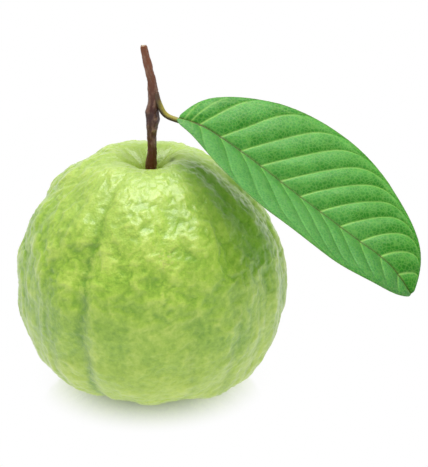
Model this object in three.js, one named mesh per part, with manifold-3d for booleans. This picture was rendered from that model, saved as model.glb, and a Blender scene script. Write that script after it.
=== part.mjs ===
// A green guava as it is picked: the fruit stands on its blossom end and keeps a piece of twig
// with one leaf. Millimetres, +Z up. The origin is the middle of the flat spot that the fruit
// rests on, the twig rises along +Z, the leaf droops towards +X and a little towards -Y, and the
// fruit's furrows are placed by their bearing from -Y, positive towards +X.

import * as THREE from "three";
import { mergeVertices } from "three/addons/utils/BufferGeometryUtils.js";
import Module from "manifold-3d";

const DEGREE = Math.PI / 180;
const GOLDEN_ANGLE = Math.PI * (3 - Math.sqrt(5));

// Fruit: a body of revolution, squarer below than above, with a hollow at each end.
const FRUIT_RADIUS = 47.4;
const WAIST_HEIGHT = 43;
const CROWN_RISE = 45.6;
const CROWN_SHAPE = { across: 1.95, up: 1.68 };
const BASE_SHAPE = { across: 3.2, up: 2.6 };
const REST_RADIUS = 16;
const STEM_HOLLOW = { depth: 8, spread: 9 };
const BLOSSOM_HOLLOW = { behind: 14, depth: 5.5, spread: 6.5 };
const FRUIT_RINGS = 40;
const FRUIT_COLUMNS = 84;

// Fruit relief: lobes and furrows that run from the shoulder to the blossom end, short creases
// round the stem, soft swellings between them, and a few knuckles and flats that give this fruit
// its own outline.
const LOBES = [
  { count: 5, height: 0.35, turn: 24 * DEGREE },
  { count: 9, height: 0.3, turn: 75 * DEGREE },
  { count: 16, height: 0.22, turn: 10 * DEGREE },
];
const FURROWS = [
  { bearing: -28, depth: 1.0, width: 4 },
  { bearing: -47, depth: 0.6, width: 4 },
  { bearing: -70, depth: 0.7, width: 4 },
  { bearing: -101, depth: 0.8, width: 4 },
  { bearing: -138, depth: 0.9, width: 4 },
  { bearing: -167, depth: 0.6, width: 4 },
  { bearing: 20, depth: 0.4, width: 4 },
  { bearing: 41, depth: 0.7, width: 4 },
  { bearing: 60, depth: 0.7, width: 4 },
  { bearing: 84, depth: 0.7, width: 4 },
  { bearing: 118, depth: 0.9, width: 4 },
  { bearing: 152, depth: 0.7, width: 4 },
];
const FURROW_FADE = { none: 10, full: 34 };
const STEM_CREASES = [
  { bearing: -72, depth: 0.9, width: 12 },
  { bearing: -125, depth: 0.8, width: 10 },
  { bearing: -175, depth: 0.5, width: 12 },
  { bearing: 128, depth: 0.9, width: 11 },
  { bearing: 78, depth: 0.7, width: 12 },
  { bearing: 32, depth: 0.5, width: 12 },
];
const CREASE_FADE = { none: 1.5, full: 5, until: 10, gone: 21 };
const KNUCKLES = [
  { bearing: -112, height: 69, spread: 8, rise: 1.6 },
  { bearing: -130, height: 89, spread: 9, rise: 1.0 },
  { bearing: -97, height: 54, spread: 12, rise: -1.9 },
  { bearing: 140, height: 80, spread: 13, rise: -1.2 },
  { bearing: 88, height: 37, spread: 9, rise: 1.8 },
  { bearing: 80, height: 27, spread: 7, rise: 0.9 },
  { bearing: 60, height: 8, spread: 8, rise: 2.4 },
  { bearing: 42, height: 4, spread: 8, rise: 2.3 },
  { bearing: -14, height: 3, spread: 10, rise: -1.0 },
  { bearing: -54, height: 7, spread: 9, rise: 0.8 },
];
const SWELLING = { waves: 22, longest: 30, shortest: 15, height: 0.34 };
const SWELLING_AT_STEM = 0.3;

// Twig: where its middle runs and how thick it is, from its root in the stem hollow to its cut
// end. The thick part is the node that carried two more leaves.
const TWIG = [
  { at: [0.6, 0, 75.0], radius: 1.7 },
  { at: [0.6, 0, 81.5], radius: 1.95 },
  { at: [1.1, 0, 87.1], radius: 1.6 },
  { at: [1.0, 0, 92.7], radius: 1.6 },
  { at: [1.3, 0, 98.2], radius: 2.25 },
  { at: [1.3, 0, 101.3], radius: 2.2 },
  { at: [1.6, 0, 104.2], radius: 1.75 },
  { at: [1.6, 0, 108.0], radius: 1.75 },
  { at: [1.2, 0, 112.5], radius: 1.5 },
  { at: [0.0, 0, 118.1], radius: 1.4 },
  { at: [-1.4, 0, 124.9], radius: 1.2 },
];
const TWIG_RINGS = 34;
const TWIG_SIDES = 10;
const BARK_RIDGES = { count: 5, share: 0.05 };
const LEAF_SCARS = [
  { at: [-0.3, -0.6, 101.2], radius: 0.9 },
  { at: [2.9, -0.6, 98.2], radius: 1.0 },
];
const SCAR_FACETS = { round: 10, over: 8 };
const GAP = 0.3;

// Leaf: the stalk leaves the twig, turns under the blade and runs on as its midrib.
const STALK_ROOT = [
  [2.5, -0.4, 108.2],
  [3.2, -0.6, 105.6],
  [4.3, -0.8, 102.9],
  [5.4, -1.0, 101.0],
  [7.0, -1.3, 99.8],
];
const MIDRIB = [
  [9.8, -1.6, 99.3],
  [18.4, -5.4, 97.8],
  [31.7, -11.3, 90.8],
  [50.8, -19.6, 78.3],
  [68.0, -27.2, 67.4],
  [81.8, -33.4, 58.4],
  [89.0, -36.4, 48.8],
];
const STALK_RADIUS = 1.2;
const MIDRIB_RADIUS = { base: 0.95, tip: 0.4, starts: 0.08 };
const STALK_RINGS = 44;
const STALK_SIDES = 8;
const BLADE_HALF_WIDTH = 28.5;
const BLADE_TAPER = { base: 0.76, tip: 0.74 };
const BLADE_THICKNESS = 0.65;
const BLADE_FACES = new THREE.Vector3(0.394, -0.49, 0.778);
const BLADE_SWAY = { ends: -2 * DEGREE, middle: -5.2 * DEGREE, late: 1.4 };
const FOLD = { base: 30 * DEGREE, tip: 15 * DEGREE, opens: 0.5, uncurl: 0.5 };
const VEINS = { count: 12, lead: 0.33, early: 0.86, straight: 0.67, bend: 1.1, hook: 12 };
const PANELS = { rise: 0.75, fromMidrib: 3, fromEdge: 4, crest: 0.8 };
const VEIN_ROWS = 4;
const BLADE_COLUMNS = 7;
const BLADE_END = 0.006;

// Calyx: the dried sepals left in the blossom hollow, on a short plug.
const SEPALS = { count: 5, reach: 6.2, notch: 2.6, pointed: 1.4, thickness: 0.65, clear: 0.9 };
const CALYX_PLUG = { radius: 1.6, length: 3, sides: 12, sunk: 0.2 };
const CALYX_STEPS = 40;
const CALYX_RINGS = 4;

const wasm = await Module();
wasm.setup();

// A closed three.js geometry as a solid that can be joined and cut.
function solidOf(geometry) {
  const bare = geometry.clone();
  bare.deleteAttribute("normal");
  bare.deleteAttribute("uv");
  const merged = mergeVertices(bare, 1e-4);
  return new wasm.Manifold(
    new wasm.Mesh({
      numProp: 3,
      vertProperties: merged.attributes.position.array,
      triVerts: new Uint32Array(merged.index.array),
    }),
  );
}

function geometryOf(solid) {
  const mesh = solid.getMesh();
  const geometry = new THREE.BufferGeometry();
  geometry.setAttribute("position", new THREE.BufferAttribute(mesh.vertProperties, 3));
  geometry.setIndex(new THREE.BufferAttribute(mesh.triVerts, 1));
  geometry.computeVertexNormals();
  return geometry;
}

// The fruit's outline, from the stem end at angle 0 to the blossom end at angle pi.
function outlineAt(angle) {
  const side = Math.max(Math.sin(angle), 0);
  const rise = Math.cos(angle);
  const shape = rise >= 0 ? CROWN_SHAPE : BASE_SHAPE;
  const across = FRUIT_RADIUS * side ** (2 / shape.across);
  const level = Math.abs(rise) ** (2 / shape.up);
  if (rise >= 0) {
    const hollow = STEM_HOLLOW.depth * Math.exp(-((across / STEM_HOLLOW.spread) ** 2));
    return new THREE.Vector2(across, WAIST_HEIGHT + CROWN_RISE * level - hollow);
  }
  const restShare = 1 - (REST_RADIUS / FRUIT_RADIUS) ** BASE_SHAPE.across;
  const drop = WAIST_HEIGHT / restShare ** (1 / BASE_SHAPE.up);
  return new THREE.Vector2(across, WAIST_HEIGHT - drop * level);
}

// Soft irregular swellings: waves that run in directions spread evenly round a sphere.
function swelling(point) {
  let sum = 0;
  for (let k = 0; k < SWELLING.waves; k++) {
    const up = 1 - (2 * k + 1) / SWELLING.waves;
    const level = Math.sqrt(1 - up * up);
    const turn = GOLDEN_ANGLE * k;
    const along = level * (point.x * Math.cos(turn) + point.y * Math.sin(turn)) + up * point.z;
    const share = k / (SWELLING.waves - 1);
    const length = THREE.MathUtils.lerp(SWELLING.longest, SWELLING.shortest, share);
    sum += Math.sin((2 * Math.PI * along) / length + 3 * turn);
  }
  return (SWELLING.height * sum) / Math.sqrt(SWELLING.waves / 2);
}

function turnBetween(bearing, other) {
  const turn = bearing - other;
  return Math.atan2(Math.sin(turn), Math.cos(turn));
}

function valleys(list, bearing) {
  let depth = 0;
  for (const valley of list) {
    const off = turnBetween(bearing, valley.bearing * DEGREE) / (valley.width * DEGREE);
    depth += valley.depth * Math.exp(-off * off);
  }
  return depth;
}

// How far the skin stands out from the plain outline at a point of it.
function relief(point, bearing) {
  const across = Math.hypot(point.x, point.y);
  const { smoothstep } = THREE.MathUtils;
  let ribs = -valleys(FURROWS, bearing);
  for (const lobe of LOBES) ribs += lobe.height * Math.cos(lobe.count * bearing + lobe.turn);
  let lumps = swelling(point);
  for (const knuckle of KNUCKLES) {
    const aside = turnBetween(bearing, knuckle.bearing * DEGREE) * FRUIT_RADIUS;
    const off = Math.hypot(aside, point.z - knuckle.height) / knuckle.spread;
    lumps += knuckle.rise * Math.exp(-off * off);
  }
  const ribbed = smoothstep(across, FURROW_FADE.none, FURROW_FADE.full);
  const lumpy = Math.min(1, SWELLING_AT_STEM + ribbed);
  if (point.z < WAIST_HEIGHT) {
    return smoothstep(across, REST_RADIUS, 2 * REST_RADIUS) * (ribbed * ribs + lumpy * lumps);
  }
  const { none, full, until, gone } = CREASE_FADE;
  const creased = smoothstep(across, none, full) * (1 - smoothstep(across, until, gone));
  return ribbed * ribs + lumpy * lumps - creased * valleys(STEM_CREASES, bearing);
}

// How far the blossom hollow lifts the underside at a place.
function blossomHollow(x, y) {
  const off = Math.hypot(x, y - BLOSSOM_HOLLOW.behind) / BLOSSOM_HOLLOW.spread;
  return BLOSSOM_HOLLOW.depth * Math.exp(-off * off);
}

function fruitGeometry() {
  const steps = 240;
  const fine = Array.from({ length: steps + 1 }, (_, i) => outlineAt((Math.PI * i) / steps));
  const outline = new THREE.SplineCurve(fine).getSpacedPoints(FRUIT_RINGS);
  outline[0].x = 0;
  outline[FRUIT_RINGS].x = 0;
  const geometry = new THREE.LatheGeometry(outline.reverse(), FRUIT_COLUMNS);
  geometry.rotateX(Math.PI / 2);
  const position = geometry.attributes.position;
  const point = new THREE.Vector3();
  for (let i = 0; i < position.count; i++) {
    point.fromBufferAttribute(position, i);
    const ring = i % (FRUIT_RINGS + 1);
    const before = outline[Math.max(ring - 1, 0)];
    const after = outline[Math.min(ring + 1, FRUIT_RINGS)];
    const slope = new THREE.Vector2().subVectors(after, before).normalize();
    const bearing = Math.atan2(point.x, -point.y);
    const across = Math.hypot(point.x, point.y);
    const out = relief(point, bearing);
    const wider = across < 1e-6 ? 0 : across + out * slope.y;
    const below = point.z < WAIST_HEIGHT / 2;
    const x = wider * Math.sin(bearing);
    const y = -wider * Math.cos(bearing);
    const lift = below ? blossomHollow(x, y) : 0;
    position.setXYZ(i, x, y, Math.max(point.z - out * slope.x + lift, 0));
  }
  return geometry;
}

// A closed body swept along a curve, with a round section whose radius is given along it.
function sweep(curve, radiusAt, rings, sides) {
  const frames = curve.computeFrenetFrames(rings, false);
  const positions = [];
  const place = new THREE.Vector3();
  for (let i = 0; i <= rings; i++) {
    const middle = curve.getPointAt(i / rings);
    for (let j = 0; j < sides; j++) {
      const angle = (2 * Math.PI * j) / sides;
      const radius = radiusAt(i / rings, angle);
      place.copy(middle);
      place.addScaledVector(frames.normals[i], radius * Math.cos(angle));
      place.addScaledVector(frames.binormals[i], radius * Math.sin(angle));
      positions.push(...place);
    }
  }
  positions.push(...curve.getPointAt(0), ...curve.getPointAt(1));
  const start = (rings + 1) * sides;
  const faces = [];
  for (let j = 0; j < sides; j++) {
    const next = (j + 1) % sides;
    for (let i = 0; i < rings; i++) {
      const low = i * sides;
      const high = low + sides;
      faces.push(low + j, low + next, high + j, low + next, high + next, high + j);
    }
    const last = rings * sides;
    faces.push(start, next, j, start + 1, last + j, last + next);
  }
  const geometry = new THREE.BufferGeometry();
  geometry.setAttribute("position", new THREE.Float32BufferAttribute(positions, 3));
  geometry.setIndex(faces);
  return geometry;
}

// The twig, made thicker all over by grow, so that a grown copy can cut room for it.
function twigSolid(grow) {
  const curve = new THREE.CatmullRomCurve3(TWIG.map((s) => new THREE.Vector3(...s.at)));
  const thickness = new THREE.CatmullRomCurve3(
    TWIG.map((s) => new THREE.Vector3(s.radius, ...s.at.slice(1))),
  );
  const radiusAt = (share, angle) => {
    const ridge = 1 + BARK_RIDGES.share * Math.cos(BARK_RIDGES.count * angle);
    return thickness.getPoint(curve.getUtoTmapping(share)).x * ridge + grow;
  };
  let twig = solidOf(sweep(curve, radiusAt, TWIG_RINGS, TWIG_SIDES));
  for (const scar of LEAF_SCARS) {
    const { round, over } = SCAR_FACETS;
    const bump = new THREE.SphereGeometry(scar.radius + grow, round, over);
    bump.translate(...scar.at);
    twig = twig.add(solidOf(bump));
  }
  return twig;
}

const midrib = new THREE.CatmullRomCurve3(MIDRIB.map((p) => new THREE.Vector3(...p)));

function halfWidth(share) {
  const { base, tip } = BLADE_TAPER;
  const widest = base / (base + tip);
  const most = widest ** base * (1 - widest) ** tip;
  return (BLADE_HALF_WIDTH * share ** base * (1 - share) ** tip) / most;
}

// A point of the blade's middle layer and its normal. row runs from 0 at the stalk to 1 at the
// tip along the side veins, and side from -1 at one edge to 1 at the other.
function bladePoint(row, side) {
  const away = Math.abs(side);
  const hooked = (1 - VEINS.straight) * away ** VEINS.hook;
  const arched = VEINS.straight * away ** VEINS.bend + hooked;
  const lead = VEINS.lead * Math.sin(Math.PI * row ** VEINS.early) * arched;
  const share = THREE.MathUtils.clamp(row + lead, BLADE_END, 1 - BLADE_END);
  const middle = midrib.getPointAt(share);
  const along = midrib.getTangentAt(share);
  const up = BLADE_FACES.clone().addScaledVector(along, -BLADE_FACES.dot(along)).normalize();
  const { ends, middle: halfway, late } = BLADE_SWAY;
  up.applyAxisAngle(along, THREE.MathUtils.lerp(halfway, ends, Math.cos(Math.PI * share ** late) ** 2));
  const across = new THREE.Vector3().crossVectors(up, along).multiplyScalar(Math.sign(side) || 1);
  const reach = away * halfWidth(share);
  const opened = THREE.MathUtils.smoothstep(share, FOLD.opens, 1);
  const fold = THREE.MathUtils.lerp(FOLD.base, FOLD.tip, opened);
  const curl = (FOLD.uncurl * fold) / BLADE_HALF_WIDTH;
  const angle = fold - curl * reach;
  const out = (Math.sin(fold) - Math.sin(angle)) / curl;
  const rise = (Math.cos(angle) - Math.cos(fold)) / curl;
  const fullness = Math.min(1, PANELS.fromMidrib * away) * (1 - away ** PANELS.fromEdge);
  const between = Math.abs(Math.sin(Math.PI * VEINS.count * row)) ** PANELS.crest;
  const normal = up.clone().multiplyScalar(Math.cos(angle));
  normal.addScaledVector(across, -Math.sin(angle));
  middle.addScaledVector(across, out);
  middle.addScaledVector(up, rise);
  middle.addScaledVector(normal, PANELS.rise * fullness * between);
  return { middle, normal };
}

function bladeGeometry() {
  const rows = VEINS.count * VEIN_ROWS;
  const columns = 2 * BLADE_COLUMNS;
  const positions = [];
  for (const face of [1, -1]) {
    for (let i = 0; i <= rows; i++) {
      for (let j = 0; j <= columns; j++) {
        const { middle, normal } = bladePoint(i / rows, j / BLADE_COLUMNS - 1);
        middle.addScaledVector(normal, (face * BLADE_THICKNESS) / 2);
        positions.push(...middle);
      }
    }
  }
  const width = columns + 1;
  const under = (rows + 1) * width;
  const faces = [];
  const quad = (a, b, c, d) => faces.push(a, b, c, a, c, d);
  for (let i = 0; i < rows; i++) {
    for (let j = 0; j < columns; j++) {
      const a = i * width + j;
      quad(a, a + width, a + width + 1, a + 1);
      faces.push(under + a, under + a + width + 1, under + a + width);
      faces.push(under + a, under + a + 1, under + a + width + 1);
    }
    const left = i * width;
    const right = left + columns;
    quad(left, left + under, left + width + under, left + width);
    quad(right, right + width, right + width + under, right + under);
  }
  for (let j = 0; j < columns; j++) {
    const far = rows * width + j;
    quad(j, j + 1, j + 1 + under, j + under);
    quad(far, far + under, far + 1 + under, far + 1);
  }
  const geometry = new THREE.BufferGeometry();
  geometry.setAttribute("position", new THREE.Float32BufferAttribute(positions, 3));
  geometry.setIndex(faces);
  return geometry;
}

// The leaf's own stalk and, under the blade, the midrib that it runs on into.
function stalkGeometry() {
  const under = MIDRIB.slice(0, -1).map(([x, y, z]) => [x, y, z - MIDRIB_RADIUS.tip]);
  const path = [...STALK_ROOT, ...under].map((p) => new THREE.Vector3(...p));
  const curve = new THREE.CatmullRomCurve3(path);
  const radiusAt = (share) => {
    const rib = THREE.MathUtils.smoothstep(share, MIDRIB_RADIUS.starts, 1);
    const radius = THREE.MathUtils.lerp(MIDRIB_RADIUS.base, MIDRIB_RADIUS.tip, rib);
    return Math.max(radius, STALK_RADIUS * (1 - 2 * share));
  };
  return sweep(curve, radiusAt, STALK_RINGS, STALK_SIDES);
}

function leafSolid() {
  return solidOf(bladeGeometry()).add(solidOf(stalkGeometry())).subtract(twigSolid(GAP));
}

// The dried sepals: a thin star that follows the roof of the blossom hollow.
function calyxGeometry() {
  const { count, reach, notch, pointed, thickness, clear } = SEPALS;
  const positions = [];
  for (const layer of [clear, clear + thickness]) {
    positions.push(0, BLOSSOM_HOLLOW.behind, BLOSSOM_HOLLOW.depth - layer);
    for (let i = 1; i <= CALYX_RINGS; i++) {
      for (let j = 0; j < CALYX_STEPS; j++) {
        const angle = (2 * Math.PI * j) / CALYX_STEPS;
        const lobe = Math.abs(Math.cos((count * angle) / 2)) ** pointed;
        const out = ((notch + (reach - notch) * lobe) * i) / CALYX_RINGS;
        const x = out * Math.sin(angle);
        const y = BLOSSOM_HOLLOW.behind + out * Math.cos(angle);
        positions.push(x, y, blossomHollow(x, y) - layer);
      }
    }
  }
  const under = 1 + CALYX_RINGS * CALYX_STEPS;
  const faces = [];
  for (let j = 0; j < CALYX_STEPS; j++) {
    const next = (j + 1) % CALYX_STEPS;
    faces.push(0, 1 + next, 1 + j, under, under + 1 + j, under + 1 + next);
    for (let i = 0; i < CALYX_RINGS - 1; i++) {
      const a = 1 + i * CALYX_STEPS + j;
      const b = 1 + i * CALYX_STEPS + next;
      const c = b + CALYX_STEPS;
      const d = a + CALYX_STEPS;
      faces.push(a, b, c, a, c, d);
      faces.push(under + a, under + c, under + b, under + a, under + d, under + c);
    }
    const rim = 1 + (CALYX_RINGS - 1) * CALYX_STEPS;
    faces.push(rim + j, rim + next, under + rim + next);
    faces.push(rim + j, under + rim + next, under + rim + j);
  }
  const geometry = new THREE.BufferGeometry();
  geometry.setAttribute("position", new THREE.Float32BufferAttribute(positions, 3));
  geometry.setIndex(faces);
  return geometry;
}

// The calyx's short plug, or the room for it when grown.
function plugSolid(grow) {
  const { radius, length, sides, sunk } = CALYX_PLUG;
  const plug = new THREE.CylinderGeometry(radius + grow, radius + grow, length + grow, sides);
  plug.rotateX(Math.PI / 2);
  const middle = BLOSSOM_HOLLOW.depth - SEPALS.clear - sunk + (length + grow) / 2;
  plug.translate(0, BLOSSOM_HOLLOW.behind, middle);
  return solidOf(plug);
}

function fruitSolid() {
  return solidOf(fruitGeometry()).subtract(twigSolid(GAP)).subtract(plugSolid(GAP));
}

function named(name, solid, colour, roughness) {
  const material = new THREE.MeshStandardMaterial({ color: colour, roughness, metalness: 0 });
  const mesh = new THREE.Mesh(geometryOf(solid), material);
  mesh.name = name;
  return mesh;
}

const guava = new THREE.Group();
guava.add(named("fruit", fruitSolid(), 0xa0c456, 0.45));
guava.add(named("twig", twigSolid(0), 0x5c4034, 0.8));
guava.add(named("leaf", leafSolid(), 0x4f9e3d, 0.5));
guava.add(named("calyx", solidOf(calyxGeometry()).add(plugSolid(0)), 0x5a4329, 0.9));

export default guava;
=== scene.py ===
"""A green guava with a piece of twig and one leaf: its skin, leaf, bark, dried sepals and stage."""

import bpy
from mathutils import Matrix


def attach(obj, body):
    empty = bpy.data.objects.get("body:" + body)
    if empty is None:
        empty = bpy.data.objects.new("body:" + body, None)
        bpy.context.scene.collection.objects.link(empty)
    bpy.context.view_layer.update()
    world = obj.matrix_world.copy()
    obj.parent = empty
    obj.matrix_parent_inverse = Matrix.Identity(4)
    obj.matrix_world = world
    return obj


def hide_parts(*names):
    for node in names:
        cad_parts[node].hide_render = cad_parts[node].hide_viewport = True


bl_info = {
    "name": "Guava with a leaf",
    "version": (1, 0, 0),
    "blender": (4, 5, 0),
    "location": "3D View > Sidebar > Guava",
    "description": "Dresses a packed guava model with its skin, leaf, bark and sepals",
    "category": "Object",
}

import math

import bpy
import numpy as np
from bpy.props import FloatProperty, FloatVectorProperty, IntProperty, PointerProperty
from mathutils import Vector

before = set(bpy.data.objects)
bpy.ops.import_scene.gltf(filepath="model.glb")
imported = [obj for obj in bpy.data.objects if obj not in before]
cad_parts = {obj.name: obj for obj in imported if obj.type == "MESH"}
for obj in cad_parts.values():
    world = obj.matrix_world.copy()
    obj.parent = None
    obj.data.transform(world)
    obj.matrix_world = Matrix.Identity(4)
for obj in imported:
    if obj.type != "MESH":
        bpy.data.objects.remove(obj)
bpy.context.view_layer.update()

MM = 0.001
BODY = "root"

# Fruit, in millimetres: the same outline and relief as the solid has.
FRUIT_RADIUS = 47.4
WAIST_HEIGHT = 43.0
CROWN_RISE = 45.6
# How square the crown and the base are, across and upwards: 2 makes an ellipse.
CROWN_ACROSS, CROWN_UP = 1.95, 1.68
BASE_ACROSS, BASE_UP = 3.2, 2.6
REST_RADIUS = 16.0
STEM_HOLLOW_DEPTH, STEM_HOLLOW_SPREAD = 8.0, 9.0
BLOSSOM_BEHIND, BLOSSOM_DEPTH, BLOSSOM_SPREAD = 14.0, 5.5, 6.5
FRUIT_RINGS, FRUIT_COLUMNS = 240, 400

# Lobes as (count, height, turn in degrees), and furrows as (bearing, depth, width in degrees),
# bearings from -Y and positive towards +X.
LOBES = [(5, 0.35, 24), (9, 0.3, 75), (16, 0.22, 10)]
FURROWS = [
    (-28, 1.0, 4),
    (-47, 0.6, 4),
    (-70, 0.7, 4),
    (-101, 0.8, 4),
    (-138, 0.9, 4),
    (-167, 0.6, 4),
    (20, 0.4, 4),
    (41, 0.7, 4),
    (60, 0.7, 4),
    (84, 0.7, 4),
    (118, 0.9, 4),
    (152, 0.7, 4),
]
# How far from the fruit's axis the furrows begin, and where they are full.
FURROW_NONE, FURROW_FULL = 10.0, 34.0
# Short creases round the stem, written as the furrows are.
STEM_CREASES = [
    (-72, 0.9, 12),
    (-125, 0.8, 10),
    (-175, 0.5, 12),
    (128, 0.9, 11),
    (78, 0.7, 12),
    (32, 0.5, 12),
]
CREASE_NONE, CREASE_FULL, CREASE_UNTIL, CREASE_GONE = 1.5, 5.0, 10.0, 21.0
# Knuckles and flats as (bearing, height, spread, rise).
KNUCKLES = [
    (-112, 69, 8, 1.6),
    (-130, 89, 9, 1.0),
    (-97, 54, 12, -1.9),
    (140, 80, 13, -1.2),
    (88, 37, 9, 1.8),
    (80, 27, 7, 0.9),
    (60, 8, 8, 2.4),
    (42, 4, 8, 2.3),
    (-14, 3, 10, -1.0),
    (-54, 7, 9, 0.8),
]
SWELLING_WAVES, SWELLING_LONGEST, SWELLING_SHORTEST = 22, 30.0, 15.0
SWELLING_HEIGHT = 0.34
SWELLING_AT_STEM = 0.3

# Painted shade along the furrows: lines where the skin is painted a darker green, written as the
# furrows are with how dark in place of a depth.
FURROW_SHADE_LINES = [
    (-28, 1.0, 2.6),
    (-47, 0.45, 2.4),
    (-101, 0.5, 2.6),
    (-138, 0.6, 2.6),
    (20, 0.35, 2.4),
    (41, 0.45, 2.4),
    (84, 0.5, 2.6),
    (118, 0.6, 2.6),
]
# The lines of painted shade wander by so many degrees, in waves this long, and begin as the furrows
# do.
FURROW_SHADE_WANDER, FURROW_SHADE_WAVE = 1.4, 24.0
FURROW_SHADE_NONE, FURROW_SHADE_FULL = 24.0, 40.0
# A small pit beside the stem and a healed graze on the front, as (x, y, z, radius).
PIT = (7.9, -0.2, 83.6, 1.3)
GRAZE = (7.5, -42.5, 66.0, 4.0)
PIT_DEPTH = 0.3
# Painted shadow of the leaf: along this line, under the leaf, the skin is painted a deeper green in
# place of the leaf's shadow.
SHADED = [
    (15.8, -9.0, 84.0),
    (25.0, -17.5, 76.0),
    (38.0, -22.0, 57.0),
]
SHADED_SPREAD = 6.5
# The skin dips round the twig's foot and in front of it, as (how far in front, radius, depth).
ROOT_DIP = (1.0, 3.95, 2.4)
LIP_DIP = (9.0, 6.5, 1.1)
# The skin's uppermost ring closes on a point this far below it, inside the twig.
POLE_DIP = 0.4
# How far out the stem hollow's skin reaches in full and at all, and how wrinkled it is.
HOLLOW_FULL, HOLLOW_NONE, HOLLOW_WRINKLES = 6.0, 19.0, 0.25
# The wrinkles begin at the rest spot's edge and are full at this many times its radius, and
# between two heights they grow from a share of their height to all of it.
REST_FADE = 1.7
WRINKLES_LOW, WRINKLES_FULL, WRINKLES_SHARE = 25.0, 60.0, 0.6
# The flanks' upright ridges, by how far round from the front, and how they weaken with height.
FLANK_NONE, FLANK_FULL = 30.0, 62.0
FLANK_WEAKENS, FLANK_WEAK, FLANK_SHARE = 48.0, 68.0, 0.2

# Twig, in millimetres, as (x, y, z, radius).
TWIG = [
    (0.6, 0, 75.0, 1.7),
    (0.6, 0, 81.5, 1.95),
    (1.1, 0, 87.1, 1.6),
    (1.0, 0, 92.7, 1.6),
    (1.3, 0, 98.2, 2.25),
    (1.3, 0, 101.3, 2.2),
    (1.6, 0, 104.2, 1.75),
    (1.6, 0, 108.0, 1.75),
    (1.2, 0, 112.5, 1.5),
    (0.0, 0, 118.1, 1.4),
    (-1.4, 0, 124.9, 1.2),
]
TWIG_FOOT_X, TWIG_NODE_X = TWIG[1][0], TWIG[4][0]
TWIG_RINGS, TWIG_SIDES = 220, 32
# The twig is slightly fluted, and its cut end is a little narrower over a few rings.
TWIG_FLUTES, TWIG_FLUTING = 5, 0.05
TWIG_END_RINGS, TWIG_END_TAPER = 4, 0.18
# Leaf scars as (x, y, z, radius), with how high and how wide the bark swells round them.
LEAF_SCARS = [(-0.3, -0.6, 101.2, 0.9), (2.9, -0.6, 98.2, 1.0)]
SCAR_RISE, SCAR_SPREAD = 0.45, 1.3
# The cracks are drawn on a plain round twig of this size, and stretched along it.
BARK_RADIUS, BARK_LENGTH, BARK_STRETCH = 1.7, 50.0, 0.3
# Corky pores for each square metre of bark, flattened to this share of their height.
PORE_DENSITY, PORE_FLATTENED = 160000.0, 0.35

# Leaf, in millimetres.
STALK_ROOT = [
    (2.5, -0.4, 108.2),
    (3.2, -0.6, 105.6),
    (4.3, -0.8, 102.9),
    (5.4, -1.0, 101.0),
    (7.0, -1.3, 99.8),
]
MIDRIB = [
    (9.8, -1.6, 99.3),
    (18.4, -5.4, 97.8),
    (31.7, -11.3, 90.8),
    (50.8, -19.6, 78.3),
    (68.0, -27.2, 67.4),
    (81.8, -33.4, 58.4),
    (89.0, -36.4, 48.8),
]
STALK_RADIUS = 1.2
STALK_RINGS, STALK_SIDES = 260, 20
# The stalk is brown this far below its middle line and olive this far above it.
STALK_BROWN, STALK_OLIVE = -0.5, 0.7
MIDRIB_RADIUS_BASE, MIDRIB_RADIUS_TIP = 0.95, 0.4
# The midrib's round body runs this far below the blade's line.
MIDRIB_BELOW = 0.5
# Shares of the stalk's whole length where the midrib begins and where it thins, and by how much.
MIDRIB_BEGINS, MIDRIB_THINS, MIDRIB_THIN, MIDRIB_THINNED = 0.08, 0.16, 0.3, 0.25
BLADE_HALF_WIDTH = 28.5
BLADE_TAPER_BASE, BLADE_TAPER_TIP = 0.76, 0.74
BLADE_THICKNESS = 0.4
# The way that the upper face looks, and how far the blade turns from it round its midrib, in
# degrees.
BLADE_FACES = (0.394, -0.49, 0.778)
SWAY_ENDS, SWAY_MIDDLE, SWAY_LATE = -2.0, -5.2, 1.4
# How steeply each half rises at the stalk and at the tip, in degrees, from where along the
# blade it opens, and the share of the slope that it loses by the edge.
FOLD_BASE, FOLD_TIP, FOLD_OPENS, FOLD_UNCURL = 30.0, 15.0, 0.5, 0.5
# Side veins: how many, how far each leads towards the tip, and how it bends into the edge.
VEIN_COUNT, VEIN_LEAD, VEIN_EARLY = 12, 0.33, 0.86
VEIN_STRAIGHT, VEIN_BEND, VEIN_HOOK = 0.67, 1.1, 12
# Two close veins at the stalk end, by where they start between the first two others.
BASAL_VEINS = (0.3, 0.6)
# How high the blade rises between side veins, how soon beside the midrib and the edge, and how
# round the crest is.
PANEL_RISE, PANEL_FROM_MIDRIB, PANEL_FROM_EDGE, PANEL_CREST = 0.75, 3, 4, 0.8
BLADE_ROWS, BLADE_COLUMNS = 300, 88
# The blade stops this share of its length short of the midrib's ends.
BLADE_END = 0.006
# The blade thins and its rim darkens from these shares of its half width on.
EDGE_THINS, EDGE_THINNED, EDGE_RIM = 0.9, 0.55, 0.965
# How wide and strong the veins are, and the shares of the way to the edge where they fade.
VEIN_WIDTH = 0.3
BASAL_WIDTH, BASAL_STRENGTH = 0.25, 0.8
VEIN_FADES, VEIN_GONE = 0.86, 0.98
# Rows, as shares of the blade, where the side veins begin at the stalk and end at the tip.
ROW_NONE, ROW_FULL, ROW_FADES, ROW_GONE = 0.03, 0.08, 0.93, 0.99
# The vein that loops along inside the edge, where the blade's half width is large enough.
LOOP_INSIDE, LOOP_WIDTH, LOOP_STRENGTH = 2.2, 0.3, 0.3
LOOP_NONE, LOOP_FULL = 8.0, 14.0
RIB_WIDTH_BASE, RIB_WIDTH_TIP = 0.5, 0.3

# Dried sepals and stamens, in millimetres, in the blossom hollow.
SEPAL_ROWS, SEPAL_COLUMNS = 16, 8
# A sepal's start from the middle, its half width and half the width of its point.
SEPAL_START, SEPAL_HALF_WIDTH, SEPAL_POINT = 0.8, 2.1, 0.06
SEPAL_CURL, SEPAL_CRINKLE = 0.35, 0.12
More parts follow.
